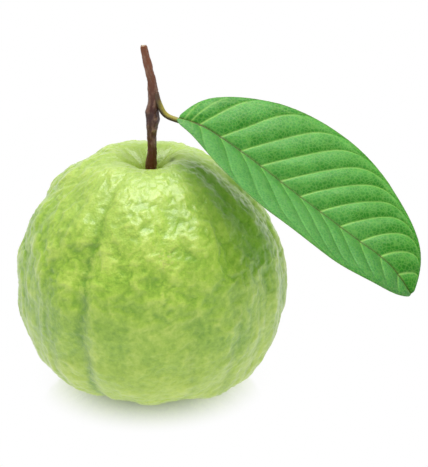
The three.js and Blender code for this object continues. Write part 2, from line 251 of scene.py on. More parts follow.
# How far the sepals lie below the hollow's roof, and the small circle that they are set on.
SEPAL_CLEAR = 0.5
SEPAL_RING = 0.1
BLOSSOM_SCAR_RADIUS, BLOSSOM_SCAR_THICKNESS, BLOSSOM_SCAR_HEIGHT = 1.9, 1.2, 4.6
STAMEN_TOP, STAMEN_FOOT, STAMEN_LENGTH = 0.04, 0.14, 1.2
# Stamens for each square metre of the scar, and the range of their turns, in radians.
STAMEN_DENSITY = 1600000.0
STAMEN_TURN_LEAST, STAMEN_TURN_MOST = (2.6, -0.5, 0.0), (3.6, 0.5, 6.0)

# Camera, in metres, at the photograph's angle.
CAMERA_AIM = (0.0225, 0.0, 0.0555)
CAMERA_DISTANCE = 0.65
CAMERA_ELEVATION = 24.0
CAMERA_LENS = 141.95

# Soft box, in metres, and the light tent's back wall, by how far a direction points to the back.
TOP_LIGHT_PLACE, TOP_LIGHT_AIM, TOP_LIGHT_SIZE = (0.04, 0.0, 1.0), (0.0, 0.0, 0.04), 0.72
WALL_NONE, WALL_FULL = 0.7, 0.86
# The floor lies this far below the rest spot, in millimetres, so the two faces don't meet.
FLOOR_BELOW = 0.1

# How finely lines are drawn: a curve between two of its points, the fruit's outline, the midrib
# and the shaded line.
CURVE_STEPS, OUTLINE_STEPS, MIDRIB_STEPS, SHADED_STEPS = 80, 4001, 801, 24

# A Mix node's sockets for colours: the two that come in and the one that goes out.
FIRST, SECOND, MIXED = 6, 7, 2


def linear(hex_colour):
    """The linear colour of an sRGB hex value."""
    parts = [int(hex_colour[i : i + 2], 16) / 255 for i in (1, 3, 5)]
    return [c / 12.92 if c <= 0.04045 else ((c + 0.055) / 1.055) ** 2.4 for c in parts] + [1.0]


def colour(hex_colour, description):
    """A colour that a user can change, with its default."""
    return FloatVectorProperty(
        name=description,
        description=description,
        subtype="COLOR",
        size=4,
        min=0,
        max=1,
        default=linear(hex_colour),
    )


def length(millimetres, name, description):
    """A length that a user can change, with its default."""
    return FloatProperty(
        name=name,
        description=description,
        unit="LENGTH",
        precision=5,
        min=0,
        default=millimetres * MM,
    )


def add(tree, kind, inputs=None, **settings):
    """Adds a node, sets its properties, and fills or links its inputs by name or number."""
    node = tree.nodes.new(kind)
    for name, value in settings.items():
        setattr(node, name, value)
    for key, value in (inputs or {}).items():
        if isinstance(value, bpy.types.NodeSocket):
            tree.links.new(value, node.inputs[key])
        else:
            node.inputs[key].default_value = value
    return node


def maths(tree, operation, *values):
    """The result of a calculation on one to three values."""
    return add(tree, "ShaderNodeMath", dict(enumerate(values)), operation=operation).outputs[0]


def remap(tree, value, source=(0.0, 1.0), target=(0.0, 1.0), smooth=False):
    """A value taken from the source range to the target range, evenly or with smooth ends."""
    ends = dict(zip(("From Min", "From Max", "To Min", "To Max"), (*source, *target)))
    steps = "SMOOTHSTEP" if smooth else "LINEAR"
    node = add(tree, "ShaderNodeMapRange", {"Value": value, **ends}, interpolation_type=steps)
    return node.outputs[0]


def blend(tree, share, first, second):
    """Two colours mixed, with this share of the second."""
    inputs = {"Factor": share, FIRST: first, SECOND: second}
    return add(tree, "ShaderNodeMix", inputs, data_type="RGBA").outputs[MIXED]


def noise(tree, place, scale, detail, distortion=0.0):
    """Soft random variation, from 0 to 1."""
    inputs = {"Vector": place, "Scale": scale, "Detail": detail, "Distortion": distortion}
    return add(tree, "ShaderNodeTexNoise", inputs).outputs[0]


def per_metre(millimetres):
    """A texture's scale for features of this size."""
    return 1 / (millimetres * MM)


def smoothstep(value, low, high):
    """0 below low, 1 above high and smooth between them."""
    share = np.clip((value - low) / (high - low), 0, 1)
    return share * share * (3 - 2 * share)


def curve(points, count):
    """Evenly spaced points on a centripetal Catmull-Rom curve through the given ones."""
    points = [np.array(point, float) for point in points]
    points = [2 * points[0] - points[1], *points, 2 * points[-1] - points[-2]]
    fine = []
    for before, start, end, after in zip(points, points[1:], points[2:], points[3:]):
        spans = ((before, start), (start, end), (end, after))
        steps = [np.linalg.norm(b - a) ** 0.5 for a, b in spans]
        leave = (start - before) / steps[0] - (end - before) / (steps[0] + steps[1])
        leave = (leave + (end - start) / steps[1]) * steps[1]
        arrive = (end - start) / steps[1] - (after - start) / (steps[1] + steps[2])
        arrive = (arrive + (after - end) / steps[2]) * steps[1]
        t = np.linspace(0, 1, CURVE_STEPS, endpoint=False)[:, None]
        bend = 3 * (end - start) - 2 * leave - arrive
        twist = 2 * (start - end) + leave + arrive
        fine.append(start + leave * t + bend * t**2 + twist * t**3)
    fine = np.vstack([*fine, points[-2][None]])
    return evenly(fine, count)


def evenly(fine, count):
    """A fine line of points as count points the same distance apart."""
    run = np.r_[0, np.cumsum(np.linalg.norm(np.diff(fine, axis=0), axis=1))]
    at = np.linspace(0, run[-1], count)
    return np.stack([np.interp(at, run, fine[:, k]) for k in range(fine.shape[1])], axis=1)


def unit(vectors):
    """The vectors at length 1."""
    return vectors / np.linalg.norm(vectors, axis=-1, keepdims=True)


def mesh_piece(name, vertices, faces, attributes):
    """A smooth mesh object from points in millimetres, with its per-point attributes."""
    mesh = bpy.data.meshes.new(name)
    mesh.from_pydata((np.asarray(vertices) * MM).tolist(), [], faces)
    for key, values in attributes.items():
        values = np.asarray(values, dtype=np.float32)
        if values.ndim == 2:
            layer = mesh.attributes.new(key, "FLOAT_VECTOR", "POINT")
            layer.data.foreach_set("vector", values.ravel())
        else:
            layer = mesh.attributes.new(key, "FLOAT", "POINT")
            layer.data.foreach_set("value", values)
    mesh.shade_smooth()
    mesh.update()
    piece = bpy.data.objects.new(name, mesh)
    bpy.context.scene.collection.objects.link(piece)
    return piece


def new_tree(name, sizes):
    """A Geometry Nodes tree with a mesh and named sizes coming in and a mesh going out."""
    tree = bpy.data.node_groups.new(name, "GeometryNodeTree")
    tree.interface.new_socket("Mesh", in_out="INPUT", socket_type="NodeSocketGeometry")
    tree.interface.new_socket("Mesh", in_out="OUTPUT", socket_type="NodeSocketGeometry")
    for size in sizes:
        kind = "NodeSocketInt" if isinstance(sizes[size], int) else "NodeSocketFloat"
        tree.interface.new_socket(size, in_out="INPUT", socket_type=kind)
    return tree


def grow(piece, tree, sizes):
    """Runs the tree on the piece with these sizes and keeps the result as its plain mesh."""
    modifier = piece.modifiers.new(tree.name, "NODES")
    modifier.node_group = tree
    for socket in tree.interface.items_tree:
        if socket.in_out == "INPUT" and socket.name in sizes:
            modifier[socket.identifier] = sizes[socket.name]
    depsgraph = bpy.context.evaluated_depsgraph_get()
    grown = piece.evaluated_get(depsgraph)
    mesh = bpy.data.meshes.new_from_object(
        grown, preserve_all_data_layers=True, depsgraph=depsgraph
    )
    piece.modifiers.remove(modifier)
    plain = piece.data
    piece.data = mesh
    bpy.data.meshes.remove(plain)
    mesh.name = piece.name
    return piece


def end_tree(tree, geometry, material):
    """The tree's end: real geometry, shaded smooth, in its material."""
    real = add(tree, "GeometryNodeRealizeInstances", {"Geometry": geometry})
    smooth = add(tree, "GeometryNodeSetShadeSmooth", {"Geometry": real.outputs[0]})
    finish = add(
        tree, "GeometryNodeSetMaterial", {"Geometry": smooth.outputs[0], "Material": material}
    )
    add(tree, "NodeGroupOutput", {"Mesh": finish.outputs[0]})


def new_material(name):
    """A material and its node tree, emptied."""
    material = bpy.data.materials.new(name)
    material.use_nodes = True
    material.node_tree.nodes.clear()
    return material, material.node_tree


def fruit_outline():
    """The fruit's outline from the stem hollow to the rest spot, as (across, height)."""
    angle = np.linspace(0, math.pi, OUTLINE_STEPS)
    side = np.clip(np.sin(angle), 0, None)
    rise = np.cos(angle)
    crown = rise >= 0
    across = FRUIT_RADIUS * side ** (2 / np.where(crown, CROWN_ACROSS, BASE_ACROSS))
    level = np.abs(rise) ** (2 / np.where(crown, CROWN_UP, BASE_UP))
    hollow = STEM_HOLLOW_DEPTH * np.exp(-((across / STEM_HOLLOW_SPREAD) ** 2))
    rest_share = 1 - (REST_RADIUS / FRUIT_RADIUS) ** BASE_ACROSS
    drop = WAIST_HEIGHT / rest_share ** (1 / BASE_UP)
    above = WAIST_HEIGHT + CROWN_RISE * level - hollow
    height = np.where(crown, above, WAIST_HEIGHT - drop * level)
    return evenly(np.stack([across, height], axis=1), FRUIT_RINGS + 1)


def swelling(x, y, z):
    """Soft irregular swellings: waves whose directions are spread evenly round a sphere."""
    total = np.zeros_like(x)
    for k in range(SWELLING_WAVES):
        up = 1 - (2 * k + 1) / SWELLING_WAVES
        level = math.sqrt(1 - up * up)
        turn = math.pi * (3 - math.sqrt(5)) * k
        along = level * (x * math.cos(turn) + y * math.sin(turn)) + up * z
        share = k / (SWELLING_WAVES - 1)
        wave = SWELLING_LONGEST + share * (SWELLING_SHORTEST - SWELLING_LONGEST)
        total += np.sin(2 * math.pi * along / wave + 3 * turn)
    return SWELLING_HEIGHT * total / math.sqrt(SWELLING_WAVES / 2)


def turn_from(bearing, other):
    """The turn between two bearings, in degrees, by the short way round."""
    return (bearing - other + 180) % 360 - 180


def valleys(places, bearing):
    """How deep the valleys at these places are at a bearing."""
    depth = np.zeros_like(bearing)
    for place, deep, width in places:
        depth += deep * np.exp(-((turn_from(bearing, place) / width) ** 2))
    return depth


def skin_relief(x, y, z, bearing):
    """How far the skin stands out from the plain outline."""
    across = np.hypot(x, y)
    ribs = -valleys(FURROWS, bearing)
    for count, height, turn in LOBES:
        ribs += height * np.cos(np.radians(count * bearing + turn))
    lumps = swelling(x, y, z)
    for place, height, spread, rise in KNUCKLES:
        aside = np.radians(turn_from(bearing, place)) * FRUIT_RADIUS
        lumps += rise * np.exp(-(np.hypot(aside, z - height) / spread) ** 2)
    ribbed = smoothstep(across, FURROW_NONE, FURROW_FULL)
    lumpy = np.minimum(1, SWELLING_AT_STEM + ribbed)
    near_rest = smoothstep(across, REST_RADIUS, 2 * REST_RADIUS)
    creased = smoothstep(across, CREASE_NONE, CREASE_FULL)
    creased = creased * (1 - smoothstep(across, CREASE_UNTIL, CREASE_GONE))
    relief = ribbed * ribs + lumpy * lumps
    crown = relief - creased * valleys(STEM_CREASES, bearing)
    return np.where(z < WAIST_HEIGHT, near_rest * relief, crown)


def blossom_hollow(x, y):
    """How far the blossom hollow lifts the underside."""
    off = np.hypot(x, y - BLOSSOM_BEHIND) / BLOSSOM_SPREAD
    return BLOSSOM_DEPTH * np.exp(-off * off)


def tube_faces(rings, sides):
    """Faces of a closed body: quads between its rings of points, and a fan to each end point."""
    faces = []
    for i in range(rings - 1):
        for j in range(sides):
            a, b = i * sides + j, i * sides + (j + 1) % sides
            faces.append((a, b, b + sides, a + sides))
    count = rings * sides
    last = count - sides
    for j in range(sides):
        following = (j + 1) % sides
        faces.append((count, following, j))
        faces.append((count + 1, last + j, last + following))
    return faces


def sheet_faces(rows, columns):
    """Faces of a thin sheet: its upper and lower layers of points, and the rim between them."""
    width = columns + 1
    under = (rows + 1) * width
    faces = []
    for i in range(rows):
        for j in range(columns):
            a = i * width + j
            faces.append((a, a + width, a + width + 1, a + 1))
            faces.append((under + a, under + a + 1, under + a + width + 1, under + a + width))
        left, right = i * width, i * width + columns
        faces.append((left, left + under, left + width + under, left + width))
        faces.append((right, right + width, right + width + under, right + under))
    for j in range(columns):
        far = rows * width + j
        faces.append((j, j + 1, j + 1 + under, j + under))
        faces.append((far, far + under, far + 1 + under, far + 1))
    return faces


def skin_mesh():
    """The fruit's surface before its wrinkles, and where it is wrinkled or marked, where shade is
    painted along its furrows, and where the leaf's shadow is painted on it.
    """
    outline = fruit_outline()
    slope = unit(np.gradient(outline, axis=0))
    turns = np.arange(FRUIT_COLUMNS) * 360 / FRUIT_COLUMNS
    run = np.arange(FRUIT_RINGS + 1) * np.linalg.norm(outline[1] - outline[0])
    inner = slice(1, FRUIT_RINGS)
    bearing = np.broadcast_to(turns, (FRUIT_RINGS - 1, FRUIT_COLUMNS)).ravel()
    across = np.repeat(outline[inner, 0], FRUIT_COLUMNS)
    height = np.repeat(outline[inner, 1], FRUIT_COLUMNS)
    slope_x = np.repeat(slope[inner, 0], FRUIT_COLUMNS)
    slope_z = np.repeat(slope[inner, 1], FRUIT_COLUMNS)
    run = np.repeat(run[inner], FRUIT_COLUMNS)
    sin, cos = np.sin(np.radians(bearing)), np.cos(np.radians(bearing))
    out = skin_relief(across * sin, -across * cos, height, bearing)
    x = (across - out * slope_z) * sin
    y = -(across - out * slope_z) * cos
    z = height + out * slope_x
    z = np.where(height < WAIST_HEIGHT / 2, np.maximum(z + blossom_hollow(x, y), 0), z)
    root = np.hypot(x - TWIG_FOOT_X, y + ROOT_DIP[0]) / ROOT_DIP[1]
    lip = np.hypot(x - TWIG_FOOT_X, y + LIP_DIP[0]) / LIP_DIP[1]
    lowered = ROOT_DIP[2] * np.exp(-(root**4)) + LIP_DIP[2] * np.exp(-(lip**2))
    z = np.where(height > WAIST_HEIGHT, z - lowered, z)
    top = (TWIG_FOOT_X, 0, z[0] - POLE_DIP)
    bottom = (0, 0, 0)
    vertices = np.vstack([np.stack([x, y, z], axis=1), top, bottom])
    pit = np.exp(-((np.linalg.norm(vertices - PIT[:3], axis=1) / PIT[3]) ** 2))
    vertices[:, 2] -= PIT_DEPTH * pit
    graze = np.exp(-((np.linalg.norm(vertices - GRAZE[:3], axis=1) / GRAZE[3]) ** 2))
    # Painted shadow of the leaf: how near each point is to the line where the leaf's shadow is
    # painted.
    away = [np.linalg.norm(vertices - point, axis=1) for point in curve(SHADED, SHADED_STEPS)]
    shaded = np.exp(-((np.min(away, axis=0) / SHADED_SPREAD) ** 2))
    # The rings run down from the stem, so the faces are turned to point outwards.
    faces = [face[::-1] for face in tube_faces(FRUIT_RINGS - 1, FRUIT_COLUMNS)]
    wrap = np.stack([FRUIT_RADIUS * sin, -FRUIT_RADIUS * cos, run], axis=1) * MM
    rest = smoothstep(across, REST_RADIUS, REST_FADE * REST_RADIUS)
    rest = np.where(height < WAIST_HEIGHT, rest, 1)
    raised = smoothstep(height, WRINKLES_LOW, WRINKLES_FULL)
    shoulder = WRINKLES_SHARE + (1 - WRINKLES_SHARE) * raised
    inside = 1 - smoothstep(across, HOLLOW_FULL, HOLLOW_NONE)
    hollow = np.where(height > WAIST_HEIGHT, inside, 0)
    stem = 1 - (1 - HOLLOW_WRINKLES) * hollow
    wrinkling = rest * shoulder * stem
    wander = FURROW_SHADE_WANDER * np.sin(2 * math.pi * height / FURROW_SHADE_WAVE + np.radians(3 * bearing))
    furrow_shade = valleys(FURROW_SHADE_LINES, bearing + wander) * smoothstep(across, FURROW_SHADE_NONE, FURROW_SHADE_FULL) * rest
    flank = smoothstep(np.abs(turn_from(bearing, 0)), FLANK_NONE, FLANK_FULL) * rest
    weaker = 1 - (1 - FLANK_SHARE) * smoothstep(height, FLANK_WEAKENS, FLANK_WEAK)
    flank = weaker * (1 - hollow) * flank
    attributes = {
        "wrap": np.vstack([wrap, [0, 0, 0], [0, 0, 0]]),
        "wrinkling": np.r_[wrinkling, 0, 0],
        "furrow_shade": np.r_[furrow_shade, 0, 0],
        "flank": np.r_[flank, 0, 0],
        "hollow": np.r_[hollow, 1, 0],
        "pit": pit,
        "graze": graze,
        "shaded": shaded,
    }
    return mesh_piece("guava_skin", vertices, faces, attributes)


def skin_tree(sizes, material):
    """Lumps, wrinkles and, on the flanks, upright ridges, raised along the skin's normal."""
    tree = new_tree("skin wrinkles", sizes)
    entry = add(tree, "NodeGroupInput").outputs
    place = add(tree, "GeometryNodeInputPosition")
    wrap = add(tree, "GeometryNodeInputNamedAttribute", {"Name": "wrap"}, data_type="FLOAT_VECTOR")
    where = add(tree, "GeometryNodeInputNamedAttribute", {"Name": "wrinkling"}, data_type="FLOAT")
    flank = add(tree, "GeometryNodeInputNamedAttribute", {"Name": "flank"}, data_type="FLOAT")
    # A drift bends the lumps and wrinkles, so that none of them looks round or even.
    drift = add(
        tree,
        "ShaderNodeTexNoise",
        {"Vector": place.outputs[0], "Scale": per_metre(7.692), "Detail": 2.0},
    )
    warped = add(
        tree,
        "ShaderNodeVectorMath",
        {0: drift.outputs["Color"], 1: (9 * MM, 9 * MM, 9 * MM), 2: place.outputs[0]},
        operation="MULTIPLY_ADD",
    )
    per_lump = maths(tree, "DIVIDE", 1.0, entry["Lump size"])
    lumps = add(
        tree,
        "ShaderNodeTexVoronoi",
        {"Vector": warped.outputs[0], "Scale": per_lump, "Smoothness": 0.35},
        feature="SMOOTH_F1",
    )
    dome = remap(tree, lumps.outputs["Distance"], (0.1, 0.7), (0.5, -0.5))
    # The relief is lower in patches about 17 mm across.
    patches = noise(tree, place.outputs[0], per_metre(16.667), 1.0)
    patchy = remap(tree, patches, (0.4, 0.6), (0.7, 1.0), smooth=True)
    per_wrinkle = maths(tree, "DIVIDE", 1.0, entry["Wrinkle size"])
    wrinkles = noise(tree, warped.outputs[0], per_wrinkle, 1.5)
    # Where the noise crosses its middle value it draws thin winding lines: the wrinkles' crests.
    crossing = maths(tree, "SUBTRACT", wrinkles, 0.5)
    beside = maths(tree, "ABSOLUTE", crossing)
    fine = remap(tree, beside, (0.0, 0.14), (0.7, -0.3), smooth=True)
    # The upright ridges are noise drawn out along the skin's way down.
    drawn = add(
        tree,
        "ShaderNodeVectorMath",
        {0: wrap.outputs[0], 1: (1.0, 1.0, 0.22)},
        operation="MULTIPLY",
    )
    per_ridge = maths(tree, "DIVIDE", 1.0, entry["Ridge size"])
    ridges = noise(tree, drawn.outputs[0], per_ridge, 2.0, distortion=0.5)
    ridge = remap(tree, ridges, (0.35, 0.65), (-0.5, 0.5))
    lump_rise = maths(tree, "MULTIPLY", dome, entry["Lump height"])
    both = maths(tree, "MULTIPLY_ADD", fine, entry["Wrinkle height"], lump_rise)
    strength = maths(tree, "MULTIPLY", where.outputs[0], patchy)
    even = maths(tree, "MULTIPLY", both, strength)
    flanked = maths(tree, "MULTIPLY", ridge, flank.outputs[0])
    rise = maths(tree, "MULTIPLY_ADD", flanked, entry["Ridge height"], even)
    normal = add(tree, "GeometryNodeInputNormal")
    offset = add(
        tree, "ShaderNodeVectorMath", {0: normal.outputs[0], "Scale": rise}, operation="SCALE"
    )
    relief = maths(tree, "DIVIDE", rise, entry["Lump height"])
    keep = add(
        tree,
        "GeometryNodeStoreNamedAttribute",
        {"Geometry": entry["Mesh"], "Name": "relief", "Value": relief},
        data_type="FLOAT",
        domain="POINT",
    )
    raised = add(
        tree, "GeometryNodeSetPosition", {"Geometry": keep.outputs[0], "Offset": offset.outputs[0]}
    )
    end_tree(tree, raised.outputs[0], material)
    return tree


def skin_material(settings):
    """Guava skin: grown, thin and waxy, so it has a soft gloss with pale glints on its lumps."""
    material, tree = new_material("guava skin")
    place = add(tree, "ShaderNodeTexCoord").outputs["Object"]
    relief, furrow_shade, hollow, pit, graze, shaded = [
        add(tree, "ShaderNodeAttribute", attribute_name=name).outputs["Fac"]
        for name in ("relief", "furrow_shade", "hollow", "pit", "graze", "shaded")
    ]
    # Mottle 1 to 3 mm across on clouds of 15 mm: the green tissue shows unevenly through the skin.
    mottle = add(
        tree,
        "ShaderNodeTexNoise",
        {"Vector": place, "Scale": per_metre(1.923), "Detail": 4.0, "Roughness": 0.65},
    )
    cloud = noise(tree, place, per_metre(15.385), 2.0)
    shade = maths(tree, "MULTIPLY_ADD", cloud, 0.5, mottle.outputs[0])
    # Painted light and shade: on top of the mottle, the skin is painted lighter on the crests of
    # its relief and darker between its lumps.
    tone_and_relief_light = maths(tree, "MULTIPLY_ADD", relief, 0.5, shade)
    spread = remap(tree, tone_and_relief_light, (0.43, 1.08))
    ramp = add(tree, "ShaderNodeValToRGB", {"Fac": spread})
    ramp.color_ramp.elements[0].color = settings.dark_tone_and_hollow_shade_colour
    ramp.color_ramp.elements[1].color = settings.pale_tone_and_crest_light_colour
    middle = ramp.color_ramp.elements.new(0.5)
    middle.color = settings.skin_colour
    # The skin is paler towards the crown. Near the floor it is painted lighter and yellower:
    # painted light thrown up from the white floor.
    height = add(tree, "ShaderNodeSeparateXYZ", {0: place})
    # Partly painted highlight: the crown's paler tone is partly the skin's own yellower colour and
    # partly a painted highlight under the top light.
    crown = remap(tree, height.outputs["Z"], (58 * MM, 86 * MM), (0.0, 0.55), smooth=True)
    # Painted bounce light: lighter and yellower towards the floor.
    foot = remap(tree, height.outputs["Z"], (35 * MM, 8 * MM), (0.0, 0.5), smooth=True)
    with_crown_tone_and_highlight = blend(tree, crown, ramp.outputs[0], settings.crown_tone_and_highlight_colour)
    with_floor_bounce = blend(tree, foot, with_crown_tone_and_highlight, settings.floor_bounce_colour)
    # Painted shade: the stem hollow is painted darker, where shade falls in it.
    painted_hollow_shade_share = maths(tree, "MULTIPLY", hollow, 0.8)
    with_hollow_shade = blend(tree, painted_hollow_shade_share, with_floor_bounce, settings.stem_hollow_shade_colour)
    # Painted shadow of the leaf: a deeper green along the line under it.
    painted_leaf_shadow_share = maths(tree, "MULTIPLY", shaded, 0.5)
    with_painted_leaf_shadow = blend(tree, painted_leaf_shadow_share, with_hollow_shade, settings.shaded_colour)
    # The lines of painted shade along the furrows break up where the mottle is light.
    broken = remap(tree, mottle.outputs[0], (0.4, 0.6), (1.0, 0.5))
    deep = maths(tree, "MULTIPLY", furrow_shade, broken)
    with_furrow_shade = blend(tree, deep, with_painted_leaf_shadow, settings.furrow_shade_colour)
    pitted = blend(tree, pit, with_furrow_shade, settings.pit_colour)
    # Corky flecks of the healed graze, 1 to 2 mm across.
    flecks = noise(tree, place, per_metre(1.25), 3.0)
    fleck = remap(tree, flecks, (0.48, 0.62), (0.0, 0.7))
    corky = maths(tree, "MULTIPLY", graze, fleck)
    grazed = blend(tree, corky, pitted, settings.graze_colour)
    # Pores about 0.8 mm apart dimple the wax.
    pores = add(
        tree, "ShaderNodeTexVoronoi", {"Vector": place, "Scale": per_metre(0.8), "Randomness": 1.0}
    )
    grain = noise(tree, place, per_metre(1.923), 3.0)
    dimples = maths(tree, "ADD", pores.outputs["Distance"], grain)
    bump = add(tree, "ShaderNodeBump", {"Strength": 0.7, "Distance": 0.2 * MM, "Height": dimples})
    gloss = remap(tree, mottle.outputs[0], (0.3, 0.7), (0.34, 0.48))
    shader = add(
        tree,
        "ShaderNodeBsdfPrincipled",
        {
            "Base Color": grazed,
            "Roughness": gloss,
            "IOR": 1.38,
            "Subsurface Weight": 0.12,
            "Subsurface Radius": (0.5, 0.7, 0.2),
            "Subsurface Scale": 3 * MM,
            "Coat Weight": 0.85,
            "Coat Roughness": 0.34,
            "Normal": bump.outputs[0],
        },
    )
    add(tree, "ShaderNodeOutputMaterial", {"Surface": shader.outputs[0]})
    return material


def blade_half_width(share):
    """The blade's half width at a share of its length."""
    widest = BLADE_TAPER_BASE / (BLADE_TAPER_BASE + BLADE_TAPER_TIP)
    most = widest**BLADE_TAPER_BASE * (1 - widest) ** BLADE_TAPER_TIP
    return BLADE_HALF_WIDTH * share**BLADE_TAPER_BASE * (1 - share) ** BLADE_TAPER_TIP / most


def blade_points(row, side):
    """Points of the blade's middle layer with their normals. row runs from the stalk to the tip
    along the side veins, and side from -1 at one edge to 1 at the other."""
    away = np.abs(side)
    arched = VEIN_STRAIGHT * away**VEIN_BEND + (1 - VEIN_STRAIGHT) * away**VEIN_HOOK
    lead = VEIN_LEAD * np.sin(math.pi * row**VEIN_EARLY) * arched
    share = np.clip(row + lead, BLADE_END, 1 - BLADE_END)
    line = curve(MIDRIB, MIDRIB_STEPS)
    steps = np.linspace(0, 1, MIDRIB_STEPS)
    tangents = unit(np.gradient(line, axis=0))
    middle = np.stack([np.interp(share, steps, line[:, k]) for k in range(3)], axis=-1)
    along = unit(np.stack([np.interp(share, steps, tangents[:, k]) for k in range(3)], axis=-1))
    faces = np.array(BLADE_FACES)
    up = unit(faces - along * (along @ faces)[..., None])
    end = np.cos(math.pi * share**SWAY_LATE) ** 2
    sway = np.radians(SWAY_MIDDLE + (SWAY_ENDS - SWAY_MIDDLE) * end)[..., None]
    up = up * np.cos(sway) + np.cross(along, up) * np.sin(sway)
    across = np.cross(up, along) * np.where(side < 0, -1, 1)[..., None]
    reach = away * blade_half_width(share)
    fold = np.radians(FOLD_BASE + (FOLD_TIP - FOLD_BASE) * smoothstep(share, FOLD_OPENS, 1))
    curl = FOLD_UNCURL * fold / BLADE_HALF_WIDTH
    angle = fold - curl * reach
    out = (np.sin(fold) - np.sin(angle)) / curl
    rise = (np.cos(angle) - np.cos(fold)) / curl
    fullness = np.minimum(1, PANEL_FROM_MIDRIB * away) * (1 - away**PANEL_FROM_EDGE)
    pillow = PANEL_RISE * fullness * np.abs(np.sin(math.pi * VEIN_COUNT * row)) ** PANEL_CREST
    normal = up * np.cos(angle)[..., None] - across * np.sin(angle)[..., None]
    middle = middle + across * out[..., None] + up * rise[..., None] + normal * pillow[..., None]
    return middle, normal, reach, share


def blade_mesh():
    """Both faces and the thin edge of the leaf's blade, with the place of its veins."""
    row = np.linspace(0, 1, BLADE_ROWS + 1)[:, None]
    side = np.linspace(-1, 1, BLADE_COLUMNS + 1)[None, :]
    row, side = np.broadcast_arrays(row, side)
    middle, normal, reach, share = blade_points(row, side)
    away = np.abs(side)
    line = curve(MIDRIB, MIDRIB_STEPS)
    spacing = np.linalg.norm(np.diff(line, axis=0), axis=1).sum() / VEIN_COUNT
    off = np.abs(row * VEIN_COUNT - np.round(row * VEIN_COUNT)) * spacing
    ends = smoothstep(row, ROW_NONE, ROW_FULL) * (1 - smoothstep(row, ROW_FADES, ROW_GONE))
    vein = np.exp(-((off / VEIN_WIDTH) ** 2)) * ends
    for start in BASAL_VEINS:
        beside = (row * VEIN_COUNT - start) * spacing / BASAL_WIDTH
        vein = np.maximum(vein, BASAL_STRENGTH * np.exp(-(beside**2)))
    vein = vein * (1 - smoothstep(away, VEIN_FADES, VEIN_GONE))
    half_width = blade_half_width(share)
    inside = ((1 - away) * half_width - LOOP_INSIDE) / LOOP_WIDTH
    loop = LOOP_STRENGTH * np.exp(-(inside**2)) * smoothstep(half_width, LOOP_NONE, LOOP_FULL)
    vein = np.maximum(vein, loop)
    rib_width = RIB_WIDTH_BASE + (RIB_WIDTH_TIP - RIB_WIDTH_BASE) * share
    rib = np.exp(-((reach / rib_width) ** 2))
    edge = smoothstep(away, EDGE_RIM, 1.0)
    along = share * spacing * VEIN_COUNT
    flat = np.stack([np.sign(side) * reach, along, 0 * along], axis=-1) * MM
    thickness = BLADE_THICKNESS * (1 - EDGE_THINNED * smoothstep(away, EDGE_THINS, 1.0))
    vertices = []
    upper = []
    for face in (1, -1):
        layer = middle + normal * (face * thickness / 2)[..., None]
        vertices.append(layer.reshape(-1, 3))
        upper.append(np.full(row.size, (1 + face) / 2))
    faces = sheet_faces(BLADE_ROWS, BLADE_COLUMNS)
    attributes = {
        "flat": np.vstack([flat.reshape(-1, 3)] * 2),
        "vein": np.tile(vein.ravel(), 2),
        "rib": np.tile(rib.ravel(), 2),
        "edge": np.tile(edge.ravel(), 2),
        "panel": np.tile(((row * VEIN_COUNT) % 1).ravel(), 2),
        "near": np.tile((side < 0).astype(float).ravel(), 2),
        "upper": np.concatenate(upper),
    }
    return mesh_piece("leaf_blade", np.vstack(vertices), faces, attributes)


def blade_tree(sizes, material):
    """Side veins sunk in the upper face and raised on the lower one, with a fine net of veins."""
    tree = new_tree("leaf veins", sizes)
    entry = add(tree, "NodeGroupInput").outputs
    vein = add(tree, "GeometryNodeInputNamedAttribute", {"Name": "vein"}, data_type="FLOAT")
    rib = add(tree, "GeometryNodeInputNamedAttribute", {"Name": "rib"}, data_type="FLOAT")
    upper = add(tree, "GeometryNodeInputNamedAttribute", {"Name": "upper"}, data_type="FLOAT")
    flat = add(tree, "GeometryNodeInputNamedAttribute", {"Name": "flat"}, data_type="FLOAT_VECTOR")
    line = maths(tree, "MAXIMUM", vein.outputs[0], rib.outputs[0])
    face = remap(tree, upper.outputs[0], target=(entry["Rib height"], entry["Groove depth"]))
    sunk = maths(tree, "MULTIPLY", line, face)
    per_cell = maths(tree, "DIVIDE", 1.0, entry["Net size"])
    cells = add(
        tree,
        "ShaderNodeTexVoronoi",
        {"Vector": flat.outputs[0], "Scale": per_cell},
        feature="DISTANCE_TO_EDGE",
    )
    net = remap(tree, cells.outputs["Distance"], (0.0, 0.25), (1.0, 0.0), smooth=True)
    net_rise = maths(tree, "MULTIPLY", net, entry["Net depth"])
    rise = maths(tree, "SUBTRACT", sunk, net_rise)
    normal = add(tree, "GeometryNodeInputNormal")
    offset = add(
        tree, "ShaderNodeVectorMath", {0: normal.outputs[0], "Scale": rise}, operation="SCALE"
    )
    raised = add(
        tree, "GeometryNodeSetPosition", {"Geometry": entry["Mesh"], "Offset": offset.outputs[0]}
    )
    end_tree(tree, raised.outputs[0], material)
    return tree


